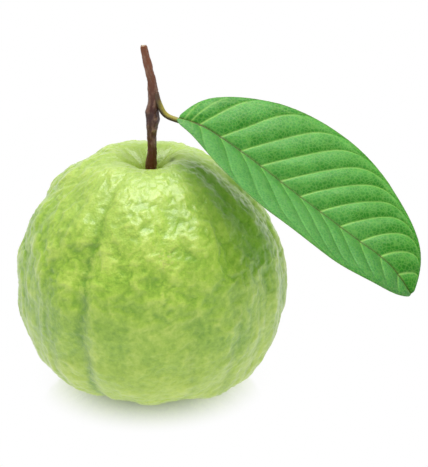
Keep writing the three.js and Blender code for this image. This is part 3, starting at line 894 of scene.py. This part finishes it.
def leaf_material(settings):
    """Fresh leaf: grown, thin and green through, satin above, paler and duller below, with light
    veins."""
    material, tree = new_material("fresh leaf blade")
    vein, rib, edge, panel, near, upper = [
        add(tree, "ShaderNodeAttribute", attribute_name=name).outputs["Fac"]
        for name in ("vein", "rib", "edge", "panel", "near", "upper")
    ]
    flat = add(tree, "ShaderNodeAttribute", attribute_name="flat").outputs["Vector"]
    patches = noise(tree, flat, per_metre(6.25), 4.0)
    # Painted light and shade: each panel between two veins is painted lighter on the side next to
    # the stalk and darker towards the next vein, where its bulge catches or loses the light.
    shade = maths(tree, "MULTIPLY_ADD", panel, 0.6, patches)
    # The blade is darker towards its tip.
    along = add(tree, "ShaderNodeSeparateXYZ", {0: flat})
    older = remap(tree, along.outputs["Y"], (50 * MM, 100 * MM), (0.0, 0.25), smooth=True)
    total = maths(tree, "ADD", shade, older)
    spread = remap(tree, total, (0.4, 1.15))
    panels = blend(tree, spread, settings.pale_tone_and_panel_light_colour, settings.dark_tone_and_panel_shade_colour)
    # Painted sheen: the near half, which faces the sky at a grazing angle, is painted a flatter,
    # bluer green.
    painted_sheen_share = maths(tree, "MULTIPLY", near, 0.45)
    halves = blend(tree, painted_sheen_share, panels, settings.near_half_sheen_colour)
    # The finest veins are the same net as the geometry's, drawn thinner.
    areoles = add(
        tree,
        "ShaderNodeTexVoronoi",
        {"Vector": flat, "Scale": 1 / settings.net_size},
        feature="DISTANCE_TO_EDGE",
    )
    netted = remap(tree, areoles.outputs["Distance"], (0.0, 0.18), (0.26, 0.0))
    with_net = blend(tree, netted, halves, settings.vein_colour)
    # On the near half the side veins are pale next to the midrib only.
    clear = remap(tree, near, target=(0.75, 0.12))
    aside = maths(tree, "ABSOLUTE", along.outputs["X"])
    inner = remap(tree, aside, (1.5 * MM, 8 * MM), (0.5, 0.0))
    clearer = maths(tree, "ADD", clear, inner)
    strong = maths(tree, "MULTIPLY", vein, clearer)
    with_veins = blend(tree, strong, with_net, settings.vein_colour)
    with_rib = blend(tree, rib, with_veins, settings.midrib_colour)
    rimmed = maths(tree, "MULTIPLY", edge, 0.5)
    with_edge = blend(tree, rimmed, with_rib, settings.midrib_colour)
    faces = blend(tree, upper, settings.under_colour, with_edge)
    gloss = remap(tree, upper, target=(0.75, 0.45))
    # The blade swells a little between its finest veins, about 1 mm apart.
    cells = noise(tree, flat, per_metre(1.0), 3.0)
    bump = add(tree, "ShaderNodeBump", {"Strength": 0.9, "Distance": 0.2 * MM, "Height": cells})
    shader = add(
        tree,
        "ShaderNodeBsdfPrincipled",
        {
            "Base Color": faces,
            "Roughness": gloss,
            "IOR": 1.35,
            "Subsurface Weight": 0.3,
            "Subsurface Radius": (0.4, 1.0, 0.15),
            "Subsurface Scale": 1.5 * MM,
            "Normal": bump.outputs[0],
        },
    )
    add(tree, "ShaderNodeOutputMaterial", {"Surface": shader.outputs[0]})
    return material


def sweep(line, radius, sides):
    """A closed body round a line of points, with a radius for each point and side: its vertices,
    its faces and each vertex's share of the length."""
    along = unit(np.gradient(line, axis=0))
    sidewards = np.zeros_like(line)
    side = np.array([1.0, 0.0, 0.0])
    for i, tangent in enumerate(along):
        side = side - tangent * (side @ tangent)
        side = side / np.linalg.norm(side)
        sidewards[i] = side
    outwards = np.cross(along, sidewards)
    angle = np.arange(sides) * 2 * math.pi / sides
    cos, sin = np.cos(angle)[None, :, None], np.sin(angle)[None, :, None]
    spokes = sidewards[:, None] * cos + outwards[:, None] * sin
    rings = line[:, None] + radius[..., None] * spokes
    vertices = np.vstack([rings.reshape(-1, 3), line[0], line[-1]])
    faces = tube_faces(len(line), sides)
    share = np.r_[np.repeat(np.linspace(0, 1, len(line)), sides), 0, 1]
    return vertices, faces, share


def stalk_mesh():
    """The leaf's own stalk and, under the blade, the midrib that it runs on into."""
    under = [(x, y, z - MIDRIB_BELOW) for x, y, z in MIDRIB[:-1]]
    line = curve([*STALK_ROOT, *under], STALK_RINGS)
    share = np.linspace(0, 1, len(line))
    rib = smoothstep(share, MIDRIB_BEGINS, 1)
    radius = MIDRIB_RADIUS_BASE + (MIDRIB_RADIUS_TIP - MIDRIB_RADIUS_BASE) * rib
    radius = np.maximum(radius, STALK_RADIUS * (1 - 2 * share))
    radius = radius * (1 - MIDRIB_THINNED * smoothstep(share, MIDRIB_THINS, MIDRIB_THIN))
    radius = np.repeat(radius[:, None], STALK_SIDES, axis=1)
    vertices, faces, share = sweep(line, radius, STALK_SIDES)
    line_height = np.r_[np.repeat(line[:, 2], STALK_SIDES), line[0, 2], line[-1, 2]]
    top = smoothstep(vertices[:, 2] - line_height, STALK_BROWN, STALK_OLIVE)
    attributes = {"share": share, "top": top}
    return mesh_piece("leaf_stalk", vertices, faces, attributes)


def stalk_material(settings):
    """Leaf stalk: grown, olive yellow above and brown below."""
    material, tree = new_material("fresh leaf stalk")
    place = add(tree, "ShaderNodeTexCoord").outputs["Object"]
    top = add(tree, "ShaderNodeAttribute", attribute_name="top").outputs["Fac"]
    streaks = noise(tree, place, per_metre(1.111), 3.0)
    share = add(tree, "ShaderNodeAttribute", attribute_name="share").outputs["Fac"]
    mixed = maths(tree, "MULTIPLY_ADD", streaks, 0.5, top)
    spread = remap(tree, mixed, (0.5, 1.1))
    green = blend(tree, spread, settings.stalk_under_colour, settings.stalk_colour)
    # Its root, along the twig, is as brown as bark, and its run under the blade is olive.
    woody = remap(tree, share, (0.02, 0.045))
    rooted = blend(tree, woody, settings.stalk_root_colour, green)
    midrib = remap(tree, share, (0.11, 0.2))
    base = blend(tree, midrib, rooted, settings.midrib_colour)
    bump = add(tree, "ShaderNodeBump", {"Strength": 0.4, "Distance": 0.1 * MM, "Height": streaks})
    shader = add(
        tree,
        "ShaderNodeBsdfPrincipled",
        {"Base Color": base, "Roughness": 0.5, "Normal": bump.outputs[0]},
    )
    add(tree, "ShaderNodeOutputMaterial", {"Surface": shader.outputs[0]})
    return material


def twig_mesh():
    """The twig with its thick node, before its bark is roughened."""
    line = curve(TWIG, TWIG_RINGS + 1)
    radius = np.repeat(line[:, 3:4], TWIG_SIDES, axis=1)
    angle = np.arange(TWIG_SIDES) * 2 * math.pi / TWIG_SIDES
    radius = radius * (1 + TWIG_FLUTING * np.cos(TWIG_FLUTES * angle)[None, :])
    end = smoothstep(np.arange(len(line)), len(line) - TWIG_END_RINGS, len(line) - 1)
    radius = radius * (1 - TWIG_END_TAPER * end[:, None])
    vertices, faces, share = sweep(line[:, :3], radius, TWIG_SIDES)
    for x, y, z, size in LEAF_SCARS:
        off = np.linalg.norm(vertices - (x, y, z), axis=1) / size
        out = unit(vertices - np.array([TWIG_NODE_X, 0, z]))
        vertices = vertices + out * (SCAR_RISE * np.exp(-((off / SCAR_SPREAD) ** 2)))[:, None]
    cut = np.zeros(len(vertices))
    cut[-1] = 1
    turn = np.r_[np.tile(angle, len(line)), 0, 0]
    along = BARK_STRETCH * BARK_LENGTH * share
    around = [BARK_RADIUS * np.cos(turn), BARK_RADIUS * np.sin(turn), along]
    attributes = {"share": share, "cut": cut, "around": np.stack(around, axis=1) * MM}
    return mesh_piece("twig_bark", vertices, faces, attributes)


def twig_tree(sizes, material, cork):
    """Bark roughened along its length, with small corky pores set on it."""
    tree = new_tree("bark", sizes)
    entry = add(tree, "NodeGroupInput").outputs
    around = add(
        tree, "GeometryNodeInputNamedAttribute", {"Name": "around"}, data_type="FLOAT_VECTOR"
    )
    per_crack = maths(tree, "DIVIDE", 1.0, entry["Crack size"])
    cracks = noise(tree, around.outputs[0], per_crack, 4.0)
    depth = remap(tree, cracks, (0.3, 0.7), (-0.5, 0.5))
    rise = maths(tree, "MULTIPLY", depth, entry["Crack depth"])
    normal = add(tree, "GeometryNodeInputNormal")
    offset = add(
        tree, "ShaderNodeVectorMath", {0: normal.outputs[0], "Scale": rise}, operation="SCALE"
    )
    keep = add(
        tree,
        "GeometryNodeStoreNamedAttribute",
        {"Geometry": entry["Mesh"], "Name": "crack", "Value": depth},
        data_type="FLOAT",
        domain="POINT",
    )
    rough = add(
        tree, "GeometryNodeSetPosition", {"Geometry": keep.outputs[0], "Offset": offset.outputs[0]}
    )
    barked = add(
        tree, "GeometryNodeSetMaterial", {"Geometry": rough.outputs[0], "Material": material}
    )
    spots = add(
        tree,
        "GeometryNodeDistributePointsOnFaces",
        {"Mesh": rough.outputs[0], "Density": PORE_DENSITY, "Seed": entry["Pore seed"]},
    )
    pore = add(
        tree, "GeometryNodeMeshIcoSphere", {"Radius": entry["Pore radius"], "Subdivisions": 2}
    )
    set_pores = add(
        tree,
        "GeometryNodeInstanceOnPoints",
        {
            "Points": spots.outputs["Points"],
            "Instance": pore.outputs["Mesh"],
            "Rotation": spots.outputs["Rotation"],
            "Scale": (1.0, 1.0, PORE_FLATTENED),
        },
    )
    real = add(tree, "GeometryNodeRealizeInstances", {"Geometry": set_pores.outputs[0]})
    corky = add(tree, "GeometryNodeSetMaterial", {"Geometry": real.outputs[0], "Material": cork})
    joined = add(tree, "GeometryNodeJoinGeometry")
    for part in (barked, corky):
        tree.links.new(part.outputs[0], joined.inputs[0])
    smooth = add(tree, "GeometryNodeSetShadeSmooth", {"Geometry": joined.outputs[0]})
    add(tree, "NodeGroupOutput", {"Mesh": smooth.outputs[0]})
    return tree


def bark_material(settings):
    """Young bark: grown, dry and finely cracked, with a faint sheen, dark at the node and redder
    towards both ends."""
    material, tree = new_material("young twig bark")
    share, crack, cut = [
        add(tree, "ShaderNodeAttribute", attribute_name=name).outputs["Fac"]
        for name in ("share", "crack", "cut")
    ]
    place = add(tree, "ShaderNodeTexCoord").outputs["Object"]
    blotch = noise(tree, place, per_metre(2.0), 4.0)
    # From the fruit up: a reddish foot, a dark node and a lighter shoot.
    ramp = add(tree, "ShaderNodeValToRGB", {"Fac": share})
    ramp.color_ramp.elements[0].position = 0.2
    ramp.color_ramp.elements[0].color = settings.root_colour
    ramp.color_ramp.elements[1].position = 0.85
    ramp.color_ramp.elements[1].color = settings.shoot_colour
    middle = ramp.color_ramp.elements.new(0.5)
    middle.color = settings.bark_colour
    rough = maths(tree, "MULTIPLY_ADD", crack, 0.9, blotch)
    light = remap(tree, rough, (0.5, 1.0), (0.0, 0.9))
    grey = blend(tree, light, ramp.outputs[0], settings.weathered_colour)
    ended = blend(tree, cut, grey, settings.wood_colour)
    bump = add(tree, "ShaderNodeBump", {"Strength": 0.9, "Distance": 0.3 * MM, "Height": blotch})
    shader = add(
        tree,
        "ShaderNodeBsdfPrincipled",
        {"Base Color": ended, "Roughness": 0.38, "Normal": bump.outputs[0]},
    )
    add(tree, "ShaderNodeOutputMaterial", {"Surface": shader.outputs[0]})
    return material


def cork_material(settings):
    """Corky pores of young bark: dry, dull and a little paler than the bark round them."""
    material, tree = new_material("corky bark pores")
    place = add(tree, "ShaderNodeTexCoord").outputs["Object"]
    grain = noise(tree, place, per_metre(0.4), 2.0)
    base = blend(tree, grain, settings.bark_colour, settings.pore_colour)
    shader = add(tree, "ShaderNodeBsdfPrincipled", {"Base Color": base, "Roughness": 0.85})
    add(tree, "ShaderNodeOutputMaterial", {"Surface": shader.outputs[0]})
    return material


def sepal_mesh(reach, thickness):
    """One dried sepal, pointed, curled at its edges, lying under the roof of the hollow."""
    out = np.linspace(0, 1, SEPAL_ROWS + 1)[:, None]
    side = np.linspace(-1, 1, SEPAL_COLUMNS + 1)[None, :]
    out, side = np.broadcast_arrays(out, side)
    radius = SEPAL_START + (reach - SEPAL_START) * out
    belly = 0.6 + 0.4 * np.sin(math.pi * out)
    half = SEPAL_HALF_WIDTH * (1 - out**2.2) * belly + SEPAL_POINT
    curl = SEPAL_CURL * side**2 * out + SEPAL_CRINKLE * np.sin(9 * out + 3 * side)
    roof = BLOSSOM_DEPTH * np.exp(-((radius / BLOSSOM_SPREAD) ** 2))
    vertices = []
    for layer in (0, thickness):
        low = roof - SEPAL_CLEAR - curl - layer
        vertices.append(np.stack([radius, half * side, low], axis=-1).reshape(-1, 3))
    faces = sheet_faces(SEPAL_ROWS, SEPAL_COLUMNS)
    return mesh_piece("dried_calyx", np.vstack(vertices), faces, {})


def calyx_tree(sizes, material):
    """Sepals in a ring round the blossom scar, with the stubs of dried stamens inside them."""
    tree = new_tree("calyx", sizes)
    entry = add(tree, "NodeGroupInput").outputs
    spots = add(
        tree,
        "GeometryNodeMeshCircle",
        {"Vertices": entry["Sepal count"], "Radius": SEPAL_RING * MM},
    )
    index = add(tree, "GeometryNodeInputIndex")
    step = maths(tree, "DIVIDE", 2 * math.pi, entry["Sepal count"])
    turn = maths(tree, "MULTIPLY", index.outputs[0], step)
    facing = add(tree, "ShaderNodeCombineXYZ", {"Z": turn})
    sepals = add(
        tree,
        "GeometryNodeInstanceOnPoints",
        {"Points": spots.outputs["Mesh"], "Instance": entry["Mesh"], "Rotation": facing.outputs[0]},
    )
    disc = add(
        tree,
        "GeometryNodeMeshCylinder",
        {"Vertices": 24, "Radius": BLOSSOM_SCAR_RADIUS * MM, "Depth": BLOSSOM_SCAR_THICKNESS * MM},
    )
    disc.fill_type = "TRIANGLE_FAN"
    seat = add(
        tree,
        "GeometryNodeTransform",
        {"Geometry": disc.outputs["Mesh"], "Translation": (0.0, 0.0, BLOSSOM_SCAR_HEIGHT * MM)},
    )
    places = add(
        tree,
        "GeometryNodeDistributePointsOnFaces",
        {"Mesh": seat.outputs[0], "Density": STAMEN_DENSITY, "Seed": entry["Stamen seed"]},
    )
    stub = add(
        tree,
        "GeometryNodeMeshCone",
        {
            "Vertices": 5,
            "Radius Top": STAMEN_TOP * MM,
            "Radius Bottom": STAMEN_FOOT * MM,
            "Depth": STAMEN_LENGTH * MM,
        },
    )
    tilt = add(
        tree,
        "FunctionNodeRandomValue",
        {0: STAMEN_TURN_LEAST, 1: STAMEN_TURN_MOST, "Seed": entry["Stamen seed"]},
        data_type="FLOAT_VECTOR",
    )
    stubs = add(
        tree,
        "GeometryNodeInstanceOnPoints",
        {
            "Points": places.outputs["Points"],
            "Instance": stub.outputs["Mesh"],
            "Rotation": tilt.outputs[0],
        },
    )
    joined = add(tree, "GeometryNodeJoinGeometry")
    for part in (sepals, seat, stubs):
        tree.links.new(part.outputs[0], joined.inputs[0])
    seated = add(
        tree,
        "GeometryNodeTransform",
        {"Geometry": joined.outputs[0], "Translation": (0.0, BLOSSOM_BEHIND * MM, 0.0)},
    )
    end_tree(tree, seated.outputs[0], material)
    return tree


def sepal_material(settings):
    """Dried sepals: withered, papery and dull, darkest in their folds."""
    material, tree = new_material("dried sepals")
    place = add(tree, "ShaderNodeTexCoord").outputs["Object"]
    folds = noise(tree, place, per_metre(1.4286), 4.0)
    spread = remap(tree, folds, (0.3, 0.7))
    base = blend(tree, spread, settings.fold_colour, settings.sepal_colour)
    bump = add(tree, "ShaderNodeBump", {"Strength": 0.7, "Distance": 0.3 * MM, "Height": folds})
    shader = add(
        tree,
        "ShaderNodeBsdfPrincipled",
        {"Base Color": base, "Roughness": 0.85, "Normal": bump.outputs[0]},
    )
    add(tree, "ShaderNodeOutputMaterial", {"Surface": shader.outputs[0]})
    return material


def floor_material(settings):
    """Studio floor: polished white board that mirrors the foot of the fruit a little blurred, and
    burns out to white further away."""
    material, tree = new_material("polished white board")
    place = add(tree, "ShaderNodeTexCoord").outputs["Object"]
    haze = noise(tree, place, per_metre(125.0), 2.0)
    blur = remap(tree, haze, target=(0.1, 0.14))
    mirror = add(
        tree,
        "ShaderNodeBsdfAnisotropic",
        {"Color": settings.floor_colour, "Roughness": blur},
        distribution="GGX",
    )
    white = add(tree, "ShaderNodeEmission", {"Color": (1.0, 1.0, 1.0, 1.0), "Strength": 1.0})
    away = add(tree, "ShaderNodeVectorMath", {0: place}, operation="LENGTH")
    burnt = remap(
        tree,
        away.outputs["Value"],
        (settings.mirror_start, settings.mirror_end),
        (0.12, 1.0),
        smooth=True,
    )
    mixed = add(tree, "ShaderNodeMixShader", {0: burnt, 1: mirror.outputs[0], 2: white.outputs[0]})
    add(tree, "ShaderNodeOutputMaterial", {"Surface": mixed.outputs[0]})
    return material


def light_tent(settings):
    """A light tent: a bright white back wall behind the fruit and dimmer white cloth elsewhere."""
    world = bpy.data.worlds.new("light tent")
    world.use_nodes = True
    tree = world.node_tree
    tree.nodes.clear()
    direction = add(tree, "ShaderNodeTexCoord").outputs["Generated"]
    towards = add(tree, "ShaderNodeSeparateXYZ", {0: direction})
    wall = remap(
        tree,
        towards.outputs["Y"],
        (WALL_NONE, WALL_FULL),
        (settings.tent_strength, 1.0),
        smooth=True,
    )
    cloth = add(tree, "ShaderNodeBackground", {"Color": (1.0, 1.0, 1.0, 1.0), "Strength": wall})
    add(tree, "ShaderNodeOutputWorld", {"Surface": cloth.outputs[0]})
    return world


def soft_light(name, place, aim, size, power):
    """A square soft box that faces the aim."""
    light = bpy.data.lights.new(name, "AREA")
    light.shape = "SQUARE"
    light.size = size
    light.energy = power
    box = bpy.data.objects.new(name, light)
    box.location = place
    box.rotation_euler = (Vector(aim) - Vector(place)).to_track_quat("-Z", "Y").to_euler()
    bpy.context.scene.collection.objects.link(box)
    return box


class GuavaSkinSettings(bpy.types.PropertyGroup):
    """Sizes and colours of the fruit's skin."""

    lump_size: length(7.5, "Lump size", "Distance between the lumps of the skin")
    lump_height: length(0.85, "Lump height", "Height of the lumps of the skin")
    wrinkle_size: length(4.0, "Wrinkle size", "Distance between the finer wrinkles")
    wrinkle_height: length(0.42, "Wrinkle height", "Height of the finer wrinkles")
    ridge_size: length(3.4, "Ridge size", "Distance between the upright ridges on the flanks")
    ridge_height: length(0.5, "Ridge height", "Height of the upright ridges on the flanks")
    skin_colour: colour("#a7cd42", "Skin")
    pale_tone_and_crest_light_colour: colour("#c4df60", "Skin on the lumps")
    dark_tone_and_hollow_shade_colour: colour("#83b22a", "Skin between the lumps")
    crown_tone_and_highlight_colour: colour("#bdd46e", "Skin of the crown")
    stem_hollow_shade_colour: colour("#8aa82c", "Skin in the stem hollow")
    floor_bounce_colour: colour("#c2d94c", "Skin near the floor")
    # Painted shade along the furrows.
    furrow_shade_colour: colour("#74a22a", "Skin in the seams")
    shaded_colour: colour("#6aa522", "Skin in the leaf's shade")
    pit_colour: colour("#5d7623", "Pit beside the stem")
    graze_colour: colour("#d8b88c", "Healed graze")


class GuavaLeafSettings(bpy.types.PropertyGroup):
    """Sizes and colours of the leaf."""

    groove_depth: length(0.16, "Groove depth", "Depth of the veins in the upper face")
    rib_height: length(0.3, "Rib height", "Height of the veins on the lower face")
    net_size: length(1.2, "Net size", "Distance across a mesh of the net of fine veins")
    net_depth: length(0.03, "Net depth", "Depth of the net of fine veins")
    pale_tone_and_panel_light_colour: colour("#5ba64a", "Lighter side of each panel")
    dark_tone_and_panel_shade_colour: colour("#2a7c16", "Darker side of each panel")
    vein_colour: colour("#9dcc68", "Veins")
    near_half_sheen_colour: colour("#438347", "Near half")
    midrib_colour: colour("#4f5220", "Midrib and margin")
    under_colour: colour("#86b873", "Lower face")
    stalk_colour: colour("#a59a3e", "Top of the stalk")
    stalk_under_colour: colour("#3b2a12", "Lower side of the stalk")
    stalk_root_colour: colour("#5d4634", "Root of the stalk")


class GuavaTwigSettings(bpy.types.PropertyGroup):
    """Sizes and colours of the twig."""

    crack_size: length(0.9, "Crack size", "Distance between the cracks of the bark")
    crack_depth: length(0.36, "Crack depth", "Depth of the cracks of the bark")
    pore_radius: length(0.16, "Pore radius", "Radius of the corky pores")
    pore_seed: IntProperty(name="Pore seed", description="Which draw places the pores", default=4)
    bark_colour: colour("#3f1c1b", "Bark")
    shoot_colour: colour("#7c4628", "Bark of the young end")
    root_colour: colour("#5c2510", "Bark at the fruit")
    weathered_colour: colour("#94705c", "Weathered bark")
    pore_colour: colour("#9a7f68", "Corky pores")
    wood_colour: colour("#c9b487", "Cut wood")


class GuavaCalyxSettings(bpy.types.PropertyGroup):
    """Sizes and colours of the dried calyx."""

    sepal_count: IntProperty(name="Sepals", description="Number of sepals", default=5, min=3)
    sepal_reach: length(5.9, "Sepal reach", "How far the sepals reach from the middle")
    sepal_thickness: length(0.25, "Sepal thickness", "Thickness of the sepals")
    stamen_seed: IntProperty(
        name="Stamen seed", description="Which draw places the stamens", default=2
    )
    sepal_colour: colour("#7d6038", "Sepals")
    fold_colour: colour("#33240f", "Folds of the sepals")


class GuavaStageSettings(bpy.types.PropertyGroup):
    """The floor and the light."""

    floor_size: FloatProperty(
        name="Floor size", description="Side of the floor", unit="LENGTH", default=6.0, min=1.0
    )
    floor_colour: colour("#f4f5f0", "Floor")
    mirror_start: length(
        17, "Mirror start", "How far from the middle the mirror image begins to fade"
    )
    mirror_end: length(45, "Mirror end", "How far from the middle the floor is all white")
    tent_strength: FloatProperty(
        name="Light tent",
        description="Strength of the light from the tent's cloth",
        default=0.45,
        min=0,
    )
    top_power: FloatProperty(
        name="Top light",
        description="Power of the overhead soft box",
        unit="POWER",
        default=9.1,
        min=0,
    )


class GUAVA_OT_skin(bpy.types.Operator):
    """Grow the fruit's skin over its solid"""

    bl_idname = "guava.skin"
    bl_label = "Skin"

    def execute(self, context):
        settings = context.scene.guava_skin
        sizes = {
            "Lump size": settings.lump_size,
            "Lump height": settings.lump_height,
            "Wrinkle size": settings.wrinkle_size,
            "Wrinkle height": settings.wrinkle_height,
            "Ridge size": settings.ridge_size,
            "Ridge height": settings.ridge_height,
        }
        skin = grow(skin_mesh(), skin_tree(sizes, skin_material(settings)), sizes)
        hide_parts("fruit")
        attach(skin, BODY)
        return {"FINISHED"}


class GUAVA_OT_leaf(bpy.types.Operator):
    """Grow the leaf's blade and its stalk"""

    bl_idname = "guava.leaf"
    bl_label = "Leaf"

    def execute(self, context):
        settings = context.scene.guava_leaf
        sizes = {
            "Groove depth": -settings.groove_depth,
            "Rib height": settings.rib_height,
            "Net size": settings.net_size,
            "Net depth": settings.net_depth,
        }
        blade = grow(blade_mesh(), blade_tree(sizes, leaf_material(settings)), sizes)
        stalk = stalk_mesh()
        stalk.data.materials.append(stalk_material(settings))
        for piece in (blade, stalk):
            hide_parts("leaf")
            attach(piece, BODY)
        return {"FINISHED"}


class GUAVA_OT_twig(bpy.types.Operator):
    """Grow the twig's bark and its corky pores"""

    bl_idname = "guava.twig"
    bl_label = "Twig"

    def execute(self, context):
        settings = context.scene.guava_twig
        sizes = {
            "Crack size": settings.crack_size,
            "Crack depth": settings.crack_depth,
            "Pore radius": settings.pore_radius,
            "Pore seed": settings.pore_seed,
        }
        tree = twig_tree(sizes, bark_material(settings), cork_material(settings))
        twig = grow(twig_mesh(), tree, sizes)
        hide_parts("twig")
        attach(twig, BODY)
        return {"FINISHED"}


class GUAVA_OT_calyx(bpy.types.Operator):
    """Grow the dried sepals in the hollow under the fruit"""

    bl_idname = "guava.calyx"
    bl_label = "Calyx"

    def execute(self, context):
        settings = context.scene.guava_calyx
        sizes = {"Sepal count": settings.sepal_count, "Stamen seed": settings.stamen_seed}
        sepal = sepal_mesh(settings.sepal_reach / MM, settings.sepal_thickness / MM)
        calyx = grow(sepal, calyx_tree(sizes, sepal_material(settings)), sizes)
        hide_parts("calyx")
        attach(calyx, BODY)
        return {"FINISHED"}


class GUAVA_OT_stage(bpy.types.Operator):
    """Lay the white floor and set the lights and the camera"""

    bl_idname = "guava.stage"
    bl_label = "Stage"

    def execute(self, context):
        settings = context.scene.guava_stage
        half = settings.floor_size / 2 / MM
        corners = [(-half, -half), (half, -half), (half, half), (-half, half)]
        corners = [(x, y, -FLOOR_BELOW) for x, y in corners]
        floor = mesh_piece("floor", corners, [(0, 1, 2, 3)], {})
        floor.data.materials.append(floor_material(settings))
        context.scene.world = light_tent(settings)
        soft_light(
            "top soft box", TOP_LIGHT_PLACE, TOP_LIGHT_AIM, TOP_LIGHT_SIZE, settings.top_power
        )
        context.scene.view_settings.view_transform = "Standard"
        camera = bpy.data.objects.new("camera", bpy.data.cameras.new("camera"))
        tilt = math.radians(CAMERA_ELEVATION)
        back = Vector((0, -math.cos(tilt), math.sin(tilt))) * CAMERA_DISTANCE
        camera.location = Vector(CAMERA_AIM) + back
        camera.rotation_euler = (math.radians(90 - CAMERA_ELEVATION), 0, 0)
        camera.data.lens = CAMERA_LENS
        context.scene.collection.objects.link(camera)
        context.scene.camera = camera
        return {"FINISHED"}


class VIEW3D_PT_guava(bpy.types.Panel):
    """Lists the guava's pieces and their settings"""

    bl_idname = "VIEW3D_PT_guava"
    bl_label = "Guava"
    bl_space_type = "VIEW_3D"
    bl_region_type = "UI"
    bl_category = "Guava"

    def draw(self, context):
        for operator, group in PARTS.items():
            box = self.layout.box()
            box.operator(f"guava.{operator}")
            settings = getattr(context.scene, f"guava_{operator}")
            for name in group.__annotations__:
                box.prop(settings, name)


PARTS = {
    "skin": GuavaSkinSettings,
    "leaf": GuavaLeafSettings,
    "twig": GuavaTwigSettings,
    "calyx": GuavaCalyxSettings,
    "stage": GuavaStageSettings,
}
OPERATORS = [GUAVA_OT_skin, GUAVA_OT_leaf, GUAVA_OT_twig, GUAVA_OT_calyx, GUAVA_OT_stage]


def register():
    """Registers the settings, the operators and the panel."""
    for name, group in PARTS.items():
        bpy.utils.register_class(group)
        setattr(bpy.types.Scene, f"guava_{name}", PointerProperty(type=group))
    for operator in OPERATORS:
        bpy.utils.register_class(operator)
    bpy.utils.register_class(VIEW3D_PT_guava)


def unregister():
    """Removes what register added."""
    bpy.utils.unregister_class(VIEW3D_PT_guava)
    for operator in reversed(OPERATORS):
        bpy.utils.unregister_class(operator)
    for name, group in PARTS.items():
        delattr(bpy.types.Scene, f"guava_{name}")
        bpy.utils.unregister_class(group)


def main():
    """Makes every piece and the stage."""
    register()
    for name in PARTS:
        getattr(bpy.ops.guava, name)()


if __name__ == "__main__":
    main()
